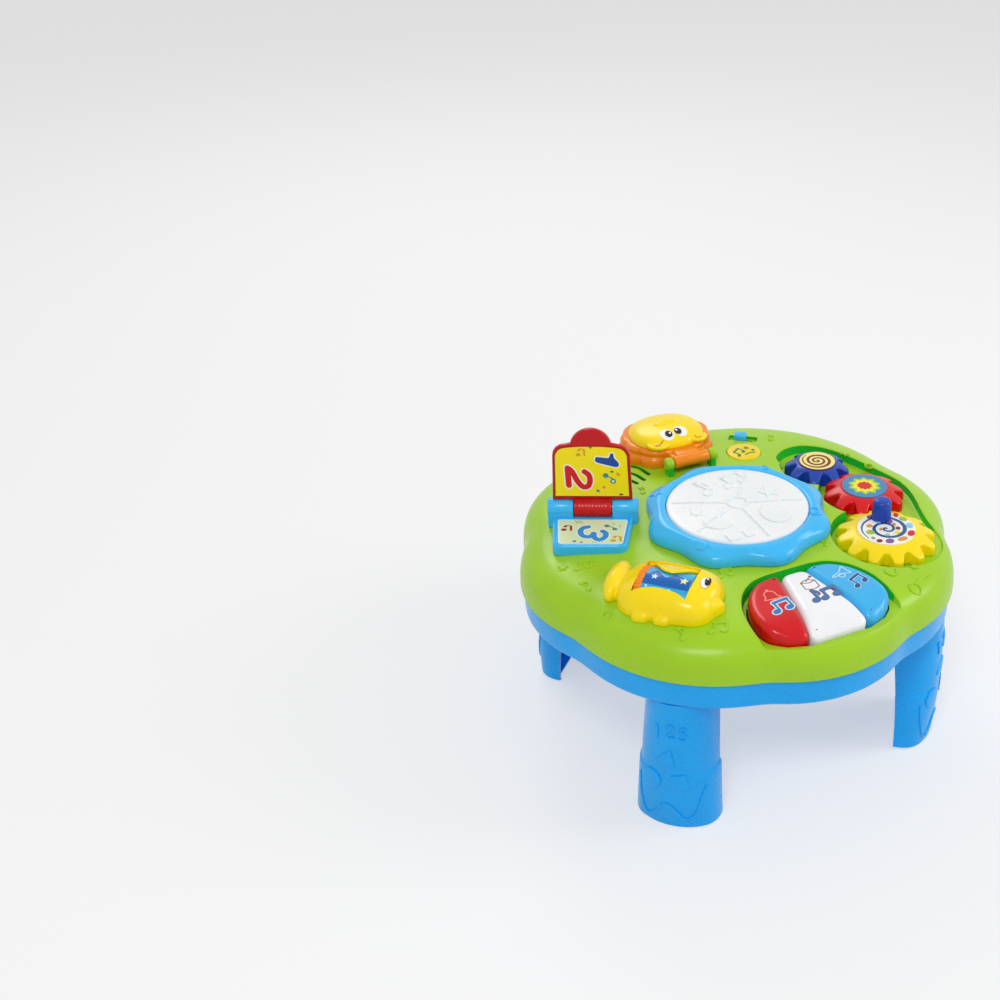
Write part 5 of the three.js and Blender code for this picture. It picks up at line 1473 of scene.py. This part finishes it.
def lump(bm, place, radii, turn=0.0, tilt=0.0):
    """A squashed ball at a place in millimetres."""
    matrix = Matrix.Translation(mm(*place)) @ Matrix.Rotation(math.radians(turn), 4, "Z")
    matrix = matrix @ Matrix.Rotation(math.radians(tilt), 4, "Y")
    matrix = matrix @ Matrix.Diagonal((radii[0] * MM, radii[1] * MM, radii[2] * MM, 1))
    bmesh.ops.create_uvsphere(bm, u_segments=48, v_segments=24, radius=1, matrix=matrix)


def mound(bm, place, radii, fullness=2.0, turn=0.0, levels=14, top_fullness=2.0):
    """A loaf: superellipse rings that close over the top."""
    rings = []
    for i in range(levels):
        a = math.pi / 2 * i / levels
        share = abs(math.cos(a)) ** (2 / top_fullness)
        ring = []
        for k in range(96):
            b = 2 * math.pi * k / 96
            x = math.copysign(abs(math.cos(b)) ** (2 / fullness), math.cos(b)) * radii[0] * share
            y = math.copysign(abs(math.sin(b)) ** (2 / fullness), math.sin(b)) * radii[1] * share
            ring.append(mm(x, y, radii[2] * math.sin(a) ** (2 / top_fullness) if i else 0))
        rings.append(ring)
    rings.insert(0, [point - mm(0, 0, 6) for point in rings[0]])
    made = bmesh.new()
    grow_rings(made, rings, cap_first=True, tip=mm(0, 0, radii[2]))
    turned = Matrix.Rotation(math.radians(turn), 4, "Z")
    bmesh.ops.transform(made, matrix=Matrix.Translation(mm(*place)) @ turned, verts=made.verts)
    mesh = bpy.data.meshes.new("mound")
    made.to_mesh(mesh)
    made.free()
    bm.from_mesh(mesh)
    bpy.data.meshes.remove(mesh)


def worm(bm, points, radius):
    """A bar with round ends along a smooth line."""
    line = smooth_line(points, 6)
    rings = []
    for i, point in enumerate(line):
        ahead = (line[min(i + 1, len(line) - 1)] - line[max(i - 1, 0)]).normalized()
        side = ahead.cross(Vector((0, 0, 1))).normalized()
        above = side.cross(ahead)
        end = 0 if 0 < i < len(line) - 1 else (1 if i else -1)
        for out, share in ((0, 1), (0.6, 0.8), (0.9, 0.4))[:: -1 if end < 0 else 1] if end else ((0, 1),):
            centre = point + ahead * end * out * radius
            turns = [2 * math.pi * k / 20 for k in range(20)]
            rings.append([
                MM * (centre + radius * share * (side * math.cos(t) + above * math.sin(t))) for t in turns
            ])
    made = bmesh.new()
    grow_rings(made, rings, cap_first=True, cap_last=True)
    mesh = bpy.data.meshes.new("worm")
    made.to_mesh(mesh)
    made.free()
    bm.from_mesh(mesh)
    bpy.data.meshes.remove(mesh)


def melt(piece, voxel=0.8, smooth=6, factor=0.5):
    remesh = piece.modifiers.new("melt", "REMESH")
    remesh.mode = "VOXEL"
    remesh.voxel_size = voxel * MM
    settle(piece)
    blur = piece.modifiers.new("blur", "SMOOTH")
    blur.factor = factor
    blur.iterations = smooth
    settle(piece)


def seat_on_deck(piece, gap=0.3):
    """Cuts away what would reach into the deck."""
    carve(piece, dome_body("cutter", SEAM - 12, sink=-gap))


# %% Fish body
fish_frame = turned_frame(Vector((fish_place.x * MM, fish_place.y * MM, 0.1547)), FISH_ANGLE)
ROLLER_Z = -2
ROLLER_RADIUS = 20


def placed(bm, frame_matrix, name="cutter", plastic=None):
    bmesh.ops.transform(bm, matrix=frame_matrix, verts=bm.verts)
    return link_mesh(name, bm, plastic)


def make_fish_body():
    bm = bmesh.new()
    mound(bm, (2.5, 1.2, 0), (33, 25, 17.5), fullness=3.6, top_fullness=2.7)
    lump(bm, (25.5, 4, 4), (10.5, 15, 12))
    lump(bm, (-35.5, 5, 1.5), (7.5, 20, 10.5), turn=3)
    lump(bm, (-24, 2, 3), (7, 14, 10))
    mound(bm, (-9.5, -18.5, 0), (6.2, 8.4, 3.4), fullness=4, top_fullness=3)
    mound(bm, (4.6, -19, 0), (6, 7.8, 3), fullness=4, top_fullness=3)
    mound(bm, (27, -12.6, 0), (4.6, 6.2, 8), fullness=3, top_fullness=3, turn=-30)
    mound(bm, (33.6, -4.6, 0), (4.6, 7, 8.2), fullness=3, top_fullness=3, turn=-35)
    fish = link_mesh("fish_body_moulding", bm, sun_yellow)
    melt(fish, 0.8, 7)
    fish.data.transform(fish_frame)
    seat_on_deck(fish)
    cavity = bmesh.new()
    barrel(cavity, -18, 18, ROLLER_RADIUS + 0.6, 0.1, (0, 0, ROLLER_Z), 64)
    spaces = [placed(cavity, fish_frame)]
    below = turned_box(Vector((0, 0)), 36, 41.2, 0)
    sill = smooth_line([(-18, -17), (-12, -14.6), (-4, -12.8), (4, -12.8), (12, -14.2), (18, -17)], 4)
    for outline, low, high in ((below, -30, ROLLER_Z),
        (sill + [Vector((18, 17)), Vector((-18, 17))], ROLLER_Z, 40)):
        space = bmesh.new()
        slab(space, outline, low, high)
        spaces.append(placed(space, fish_frame))
    carve(fish, *spaces)
    return fish


def roller_surface(along, round_it, out):
    reach, a = ROLLER_RADIUS + out, round_it / ROLLER_RADIUS
    return mm(along, math.sin(a) * reach, ROLLER_Z + math.cos(a) * reach)


def lid_edge(along):
    return 1.8 + 15.5 * abs((along - 1.5) / 15.5) ** 2.1


def fin_section(along):
    """One cut through the fin: its rim in front, a hollow, a crest, and the way down to the deck."""
    front, crest = min(0.84, lid_edge(along) / ROLLER_RADIUS), 1.02
    reach = 25.6 - 3.0 * (abs(along - 1.5) / 18) ** 2
    cut = [(front, 20.5), (front - 0.03, 21.2), (front, 22.2), (front + 0.05, 22.6), (front + 0.1, 22.3)]
    cut += [(front + 0.1 + (crest - front - 0.1) * t, 21.7 + (reach - 21.7) * t ** 2.2)
        for t in (0.2, 0.4, 0.6, 0.75, 0.88)]
    cut += [(crest, reach - 0.2), (crest + 0.06, reach), (crest + 0.13, reach - 0.4), (1.35, 24), (1.7, 23),
        (1.7, 20.5), (1.3, 20.5)]
    return [roller_surface(along, a * ROLLER_RADIUS, reach - ROLLER_RADIUS) for a, reach in cut]


def make_fin():
    bm = bmesh.new()
    grow_rings(bm, [fin_section(-17 + 35.5 * i / 36) for i in range(37)], cap_first=True, cap_last=True)
    fin = placed(bm, fish_frame, "fish_fin_moulding", sun_yellow)
    return dress(fin, "table", "toy_yellow", crisp=60)


fish = make_fish_body()
make_fin()
dress(fish, "table", "toy_yellow", "fish_body", crisp=50)

# %% Eye of the fish
ear_shade = moulded("ear_shade", "d89c00", gloss=0.3)
eye_white = moulded("eye_white", "f7f7f5", gloss=0.15, cloud=0.01)
eye_black = moulded("eye_black", "120c0a", gloss=0.1, cloud=0.3)
still = Matrix.Identity(4)
fish_eye = printed("fish_eye_print", [
    (ear_shade, -0.5, 0.12, [blob(24.9, 3.2, 3.5, 6.1, 8)]),
    (eye_white, -0.5, 0.2, [blob(24.8, 3.2, 3.1, 5.6, 8)]),
    (eye_black, -0.5, 0.34, [blob(26.1, 4.2, 2.0, 4.5, 8)]),
    # The small white dot on the pupil is a painted glint.
    (eye_white, -0.5, 0.42, [blob(25.4, 6.4, 0.7, 1.1, 8)]),
], still, down_onto(fish, fish_frame), 1.2)
dress(fish_eye, "table", "printed_label")

# %% [markdown]
# ## The roller in the fish
# Behind the window turns a roller with a picture of the sea all the way round, and a ribbed orange ring to
# push it by. The picture is drawn flat and rolled up: its height becomes the way round the roller.

# %% Roller
roller_sky = moulded("roller_sky", "30ade6", gloss=0.24)
roller_sea = moulded("roller_sea", "0a5fb4", gloss=0.24)
roller_foam, roller_star = ink("roller_foam", "cfeef8"), ink("roller_star", "f4ee9c")
WAVE = [(17.3, -10), (17.3, -0.5), (14, -1.6), (10, 0.6), (6.4, 1.7), (3.2, -0.6), (1, -3), (-1.6, -1.6),
    (-4.4, 1.4), (-7, 3),
        (-9.4, 0.4), (-11.4, -1.8), (-13, -1.2), (-13, -10)]


def around(outlines, shift):
    return [[Vector((p[0], p[1] + shift)) for p in outline] for outline in outlines]


def make_roller():
    bm = bmesh.new()
    barrel(bm, -13.2, 17.5, ROLLER_RADIUS - 0.25, 0.4, (0, 0, ROLLER_Z), 96)
    grip = bmesh.new()
    ribs = [(ROLLER_RADIUS - 0.35 + 0.35 * math.cos(48 * a)) * Vector((math.cos(a), math.sin(a))) for a in
            [2 * math.pi * i / 384 for i in range(384)]]
    slab(grip, ribs, -17.6, -13.1, 0.3, 2)
    upright = Matrix(((0, 0, 1, 0), (1, 0, 0, 0), (0, 1, 0, ROLLER_Z * MM), (0, 0, 0, 1)))
    bmesh.ops.transform(grip, matrix=upright, verts=grip.verts)
    parts = [(bm, 0), (grip, 4)]
    for i in range(3):
        shift = 2 * math.pi * ROLLER_RADIUS * i / 3
        drawings = [
            (1, -0.06, around([WAVE], shift)),
            (2, 0.02, around([blob(-10, -11.6, 0.8), blob(5.4, -12, 0.8), blob(-3, -12.4, 0.5)], shift)),
            (2, 0.06, around([star(5, 2.6, 1.2, (-6.6, -3.6))], shift)),
            (3, 0.06, around([star(5, 3.1, 1.4, (12.8, -3.2))], shift)),
            (3, -0.04, around([blob(8, 12, 3.4), blob(-9, 14, 1.1), blob(0, 18, 0.9)], shift)),
        ]
        for number, high, outlines in drawings:
            drawing = bmesh.new()
            plates(drawing, outlines, -0.6, high)
            lay_on(drawing, roller_surface, 2)
            parts.append((drawing, number))
    whole = merged(parts)
    bmesh.ops.transform(whole, matrix=fish_frame, verts=whole.verts)
    roller = link_mesh("fish_roller_print", whole, None)
    for material in (roller_sky, roller_sea, roller_foam, roller_star, mane_orange):
        roller.data.materials.append(material)
    return dress(roller, "roller", "printed_roller", "fish_roller")


make_roller()

# %% [markdown]
# ## The lion
# The lion is a flap: a scalloped mane on a hinge, with a round face on top of it. The ears are small cups,
# each a rim of beads melted into the face. The eyes are glossy, and lie on the face wherever it curves.

# %% Lion's mane
LION_PLACE = on_table(0, 72, 165)
lion_frame = turned_frame(LION_PLACE, 0, -1.5)


def mane_ring(share, z, ripple=1.0):
    ring = []
    for i in range(220):
        a = 2 * math.pi * i / 220
        petal = abs(math.cos(5.5 * a)) ** 0.7 * 2.6 - 1.6
        x = -1.5 + (35 + petal * ripple) * share * math.cos(a)
        y = 40 + (31.3 + petal * ripple) * share * math.sin(a)
        ring.append(mm(x, y, z))
    return ring


def make_mane():
    bm = bmesh.new()
    levels = smooth_line([
        (1, -16, 1), (1.015, -9, 1), (1.01, -5, 1), (0.985, -3, 1), (0.955, -1.8, 0.8), (0.95, -0.6, 0.6),
        (0.965, 0.6, 0.7), (0.955, 2.2, 0.7),
        (0.92, 3.5, 0.6), (0.87, 4.0, 0.45), (0.82, 4.1, 0.3),
    ], 3)
    grow_rings(bm, [mane_ring(*level) for level in levels], cap_first=True, cap_last=True)
    mane = placed(bm, lion_frame, "lion_mane_moulding", mane_orange)
    seat_on_deck(mane)
    bm = bmesh.new()
    bm.from_mesh(mane.data)
    bmesh.ops.delete(bm, geom=[f for f in bm.faces if f.normal.z < -0.8], context="FACES")
    bm.to_mesh(mane.data)
    bm.free()
    wall = mane.modifiers.new("wall", "SOLIDIFY")
    wall.thickness = 2.4 * MM
    wall.offset = -1
    settle(mane)
    hinge = bmesh.new()
    barrel(hinge, -14, 14, 4.5, 0.9)
    slab(hinge, turned_box(Vector((0, 10)), 26, 20, 0, 1.5), -4.3, 2.2, 0.9)
    slab(hinge, turned_box(Vector((0, 8)), 19, 13, 0, 2.5), 0, 3.6, 1.2)
    bmesh.ops.transform(hinge, matrix=lion_frame, verts=hinge.verts)
    bm = bmesh.new()
    bm.from_mesh(mane.data)
    whole = merged([(bm, 0), (hinge, 0)])
    whole.to_mesh(mane.data)
    whole.free()
    return dress(mane, "lion_flap", "orange", "lion_mane", crisp=50)


# %% Lion's face
FACE_X = -2
EARS = ((-16.8, 20.5, 7.6), (14.5, 19.5, 6.8))


def make_face():
    bm = bmesh.new()
    mound(bm, (FACE_X, 37.5, 4.3), (28, 24.5, 8.6), fullness=2.25, top_fullness=2.7)
    worm(bm, [(FACE_X - 7.5, 37, 11.9), (FACE_X - 1, 38.5, 12.9), (FACE_X + 7, 38.5, 12.1)], 2.4)
    for x, y, size in EARS:
        lump(bm, (x, y, 4.6), (size, size, 2.4))
        cup = [(x + size * math.cos(a), y + size * math.sin(a), 6.6)
            for a in [math.radians(d) for d in range(175, 366, 19)]]
        worm(bm, cup, 1.35)
    face = link_mesh("lion_face_moulding", bm, sun_yellow)
    melt(face, 0.65, 5)
    face.data.transform(lion_frame)
    bm = bmesh.new()
    bm.from_mesh(face.data)
    under = lion_frame @ mm(0, 0, 4.3)
    bmesh.ops.bisect_plane(
        bm, geom=bm.verts[:] + bm.edges[:] + bm.faces[:], plane_co=under,
        plane_no=lion_frame.to_3x3() @ Vector((0, 0, -1)),
        clear_outer=True,
    )
    bmesh.ops.holes_fill(bm, edges=[e for e in bm.edges if e.is_boundary])
    bm.to_mesh(face.data)
    bm.free()
    return dress(face, "lion_flap", "toy_yellow", "lion_face", crisp=50)


make_mane()
face = make_face()
EYE_Y = 21.6
whites = [blob(FACE_X - 6.2, EYE_Y + 0.6, 5.2, 6.0, 0), blob(FACE_X + 5, EYE_Y + 1.4, 5.0, 6.0, 0)]
pupils = [blob(FACE_X - 4.9, EYE_Y + 0.6, 2.7, 3.6, -10), blob(FACE_X + 2.9, EYE_Y + 1.4, 2.7, 3.6, -10)]
glints = [blob(FACE_X - 3.9, EYE_Y + 0.8, 0.85, 1.2, -10), blob(FACE_X + 2.2, EYE_Y + 2.6, 0.85, 1.2, -10)]
shades = [
    stroke([(x + size * 0.62 * math.cos(a), y + 1 + size * 0.62 * math.sin(a))
    for a in [math.radians(d) for d in (235, 255, 275, 295, 310)]], 1.2)
    for x, y, size in EARS
]
lion_eyes = printed("lion_eyes_print", [
    (eye_white, -0.5, 0.25, whites), (eye_black, -0.5, 0.6, pupils), (eye_white, -0.5, 0.7, glints),
    (ear_shade, -0.5, 0.1, shades),
], still, down_onto(face, lion_frame), 1.2)
dress(lion_eyes, "lion_flap", "printed_label")

# %% Lion lugs
bm = bmesh.new()
feet = bmesh.new()
for side in (-1, 1):
    ends = sorted((side * 14.3, side * 21))
    barrel(bm, ends[0], ends[1], 4.6, 2.2)
    slab(feet, turned_box(Vector((side * 17.2, 0)), 4.4, 8.4, 0, 1.6), -11, -2)
lugs = merged([(bm, 0), (feet, 1)])
bmesh.ops.transform(lugs, matrix=turned_frame(LION_PLACE), verts=lugs.verts)
lugs = link_mesh("lion_lugs_moulding", lugs, leaf_green)
# The feet, material 1, are deeper green: painted shade under the lug barrels.
lugs.data.materials.append(painted_shade_green)
dress(lugs, "table", "leaf_green")

# %% Switch and badge
switch_frame = turned_frame(Vector((switch_place.x * MM, switch_place.y * MM, 0)), SWITCH_ANGLE)
knob_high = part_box("switch_knob")[1]
bm = bmesh.new()
slab(bm, turned_box(Vector((-2.2, 0)), 9.5, 7.8, 0, 1.4), 152.3, knob_high.z / MM, 1.2, 4)
slab(bm, turned_box(Vector((-3.5, 0)), 5, 3.4, 0, 0.4), 148.5, 153)
bmesh.ops.transform(bm, matrix=switch_frame, verts=bm.verts)
dress(link_mesh("switch_knob_moulding", bm, ring_blue), "switch", "pale_blue", "switch_knob")

badge_low, badge_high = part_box("badge_disc")
bm = bmesh.new()
b0, b1 = badge_low.z / MM, badge_high.z / MM
spin_profile(bm, [
    (0, b0), (12.6, b0), (12.8, b0 + 0.3), (12.7, b1 - 0.8), (12.2, b1 - 0.2), (11.4, b1), (6, b1 + 0.25),
    (0, b1 + 0.35),
], mm(badge_place.x, badge_place.y), 64)
badge_yellow = moulded("badge_yellow", "f4d60c", gloss=0.3)
dress(link_mesh("badge_disc_moulding", bm, badge_yellow), "table", "toy_yellow", "badge_disc")
badge_green = ink("badge_green", "2f7f46")
emblem = printed("badge_print", [(badge_green, -0.4, 0.12, moved(beamed_quavers(), -4.4, -0.4, 28, 0.72) + [
    star(5, 2.6, 1.2, (3.6, 3.2)), blob(6.8, -1.8, 1.3),
    stroke([(-1.5, -5.6), (2.5, -4.6), (6.5, -5.4)], 1.1),
])], Matrix.Translation(Vector((0, 0, 0))),
    lambda x, y, out: mm(badge_place.x + x, badge_place.y + y, b1 + 0.35 * (1 - (x * x + y * y) / 160) + out))
dress(emblem, "table", "toy_yellow")

# %% [markdown]
# ## Metal, rubber and the parts inside
# Pins, screws, springs, boards and batteries keep their CAD shape, because it is right, and get a finish.
# Brushed metal is noise stretched along one axis. A board is green lacquer with tracks under it.

# %% Finishes for the CAD parts


def brushed(name, code, roughness):
    material = bpy.data.materials.new(name)
    material.use_nodes = True
    tree = material.node_tree
    shader = tree.nodes["Principled BSDF"]
    shader.inputs["Metallic"].default_value = 1.0
    place = add_node(tree, "ShaderNodeTexCoord")
    stretch = add_node(tree, "ShaderNodeMapping", Scale=(60, 60, 900))
    noise = add_node(tree, "ShaderNodeTexNoise", Scale=1.0, Detail=3.0)
    tree.links.new(place.outputs["Object"], stretch.inputs["Vector"])
    tree.links.new(stretch.outputs["Vector"], noise.inputs["Vector"])
    colour = linear(code)
    tree.links.new(shade(tree, noise.outputs["Fac"], tinted(colour, 0.85), tinted(colour, 1.1)),
        shader.inputs["Base Color"])
    tree.links.new(spread(tree, noise.outputs["Fac"], roughness - 0.08, roughness + 0.1),
        shader.inputs["Roughness"])
    return material


def banded(name, code, band_code, size, share):
    """Plastic with bands across Z, such as a battery's wrapper or a board's tracks."""
    material = moulded(name, code, gloss=0.3)
    tree = material.node_tree
    shader = tree.nodes["Principled BSDF"]
    wave = add_node(tree, "ShaderNodeTexWave", {"bands_direction": "X"}, Scale=size, Distortion=1.5,
        Detail=1.0)
    place = add_node(tree, "ShaderNodeTexCoord")
    tree.links.new(place.outputs["Object"], wave.inputs["Vector"])
    ramp = add_node(tree, "ShaderNodeValToRGB")
    ramp.color_ramp.elements[0].position = share
    ramp.color_ramp.elements[0].color = linear(code)
    ramp.color_ramp.elements[1].position = share + 0.05
    ramp.color_ramp.elements[1].color = linear(band_code)
    tree.links.new(wave.outputs["Fac"], ramp.inputs["Fac"])
    tree.links.new(ramp.outputs["Color"], shader.inputs["Base Color"])
    return material


steel, spring_steel = brushed("steel_brushed", "c9ccd0", 0.28), brushed("contact_nickel", "d9d6cc", 0.22)
rubber = moulded("rubber_pad", "7f8285", gloss=0.75)
black_plastic = moulded("black_moulding", "1c1d20", gloss=0.45)
board_green = banded("board_lacquer", "1d6b3a", "2f8a4e", 90, 0.72)
lens_clear = moulded("lens_milky", "fbf3d8", gloss=0.12)
battery_wrap = banded("battery_wrapper", "25282c", "c58a2c", 14, 0.8)
FINISHES = {
    "pin": steel, "rod": steel, "screw": steel, "contact": spring_steel, "spring": spring_steel,
    "return_pad": rubber,
    "pad": rubber, "switch_body": black_plastic, "speaker": black_plastic, "board": board_green,
    "light": lens_clear,
    "battery_door": tray_blue, "battery": battery_wrap,
}
ORDER = ["screw", "battery_door", "contact", "spring", "battery", "switch_body", "speaker", "board",
    "light", "return_pad", "rod", "pin", "pad"]
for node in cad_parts:
    kind = next((word for word in ORDER if word in node), None)
    part = bpy.data.objects.get(node)
    if part and kind:
        for slot in part.material_slots:
            slot.material = FINISHES[kind]
        print(node, "->", FINISHES[kind].name)

# %% Floor, lights and world


def seen_straight(tree):
    """1 for rays from the camera and for those that a shiny or clear surface sends on, otherwise 0."""
    path = add_node(tree, "ShaderNodeLightPath")
    total = path.outputs["Is Camera Ray"]
    for kind in ("Is Glossy Ray", "Is Transmission Ray"):
        both = add_node(tree, "ShaderNodeMath", {"operation": "MAXIMUM"})
        tree.links.new(total, both.inputs[0])
        tree.links.new(path.outputs[kind], both.inputs[1])
        total = both.outputs["Value"]
    return total


def studio():
    scene = bpy.context.scene
    scene.view_settings.view_transform = "Standard"
    world = bpy.data.worlds.new("studio")
    scene.world = world
    world.use_nodes = True
    tree = world.node_tree
    back = tree.nodes["Background"]
    back.inputs["Color"].default_value = (1, 1, 1, 1)
    seen = add_node(tree, "ShaderNodeMapRange", To_Min=0.5, To_Max=1.0)
    tree.links.new(seen_straight(tree), seen.inputs["Value"])
    tree.links.new(seen.outputs["Result"], back.inputs["Strength"])


studio()


def lamp(name, place, target, size, power):
    light = bpy.data.lights.new(name, "AREA")
    light.shape = "DISK"
    light.size = size
    light.energy = power
    lamp_object = bpy.data.objects.new(name, light)
    aim = (place - target).to_track_quat("Z", "Y")
    lamp_object.matrix_world = Matrix.Translation(place) @ aim.to_matrix().to_4x4()
    bpy.context.scene.collection.objects.link(lamp_object)


lamp("key_light", Vector((-0.7, -0.9, 1.5)), Vector((0, 0, 0.12)), 0.5, 9.5)
lamp("fill_light", Vector((1.2, -0.6, 1.0)), Vector((0, 0, 0.12)), 0.7, 7)
lamp("back_light", Vector((0.2, 1.3, 1.2)), Vector((0, 0, 0.12)), 0.7, 5)


def pale_floor():
    """A white floor that still shows the shadow: for the eye, half of it glows and half of it is lit."""
    material = bpy.data.materials.new("floor_paint")
    material.use_nodes = True
    tree = material.node_tree
    shader = tree.nodes["Principled BSDF"]
    shader.inputs["Base Color"].default_value = (0.9, 0.9, 0.9, 1)
    shader.inputs["Roughness"].default_value = 0.9
    shader.inputs["Specular IOR Level"].default_value = 0.0
    glow = add_node(tree, "ShaderNodeEmission")
    share = add_node(tree, "ShaderNodeMapRange", To_Min=0.0, To_Max=0.5)
    both = add_node(tree, "ShaderNodeMixShader")
    tree.links.new(seen_straight(tree), share.inputs["Value"])
    tree.links.new(share.outputs["Result"], both.inputs[0])
    tree.links.new(shader.outputs["BSDF"], both.inputs[1])
    tree.links.new(glow.outputs["Emission"], both.inputs[2])
    tree.links.new(both.outputs["Shader"], tree.nodes["Material Output"].inputs["Surface"])
    return material


bm = bmesh.new()
bmesh.ops.create_grid(bm, x_segments=1, y_segments=1, size=4)
floor = link_mesh("floor", bm, pale_floor())
floor.location.z = -0.0003
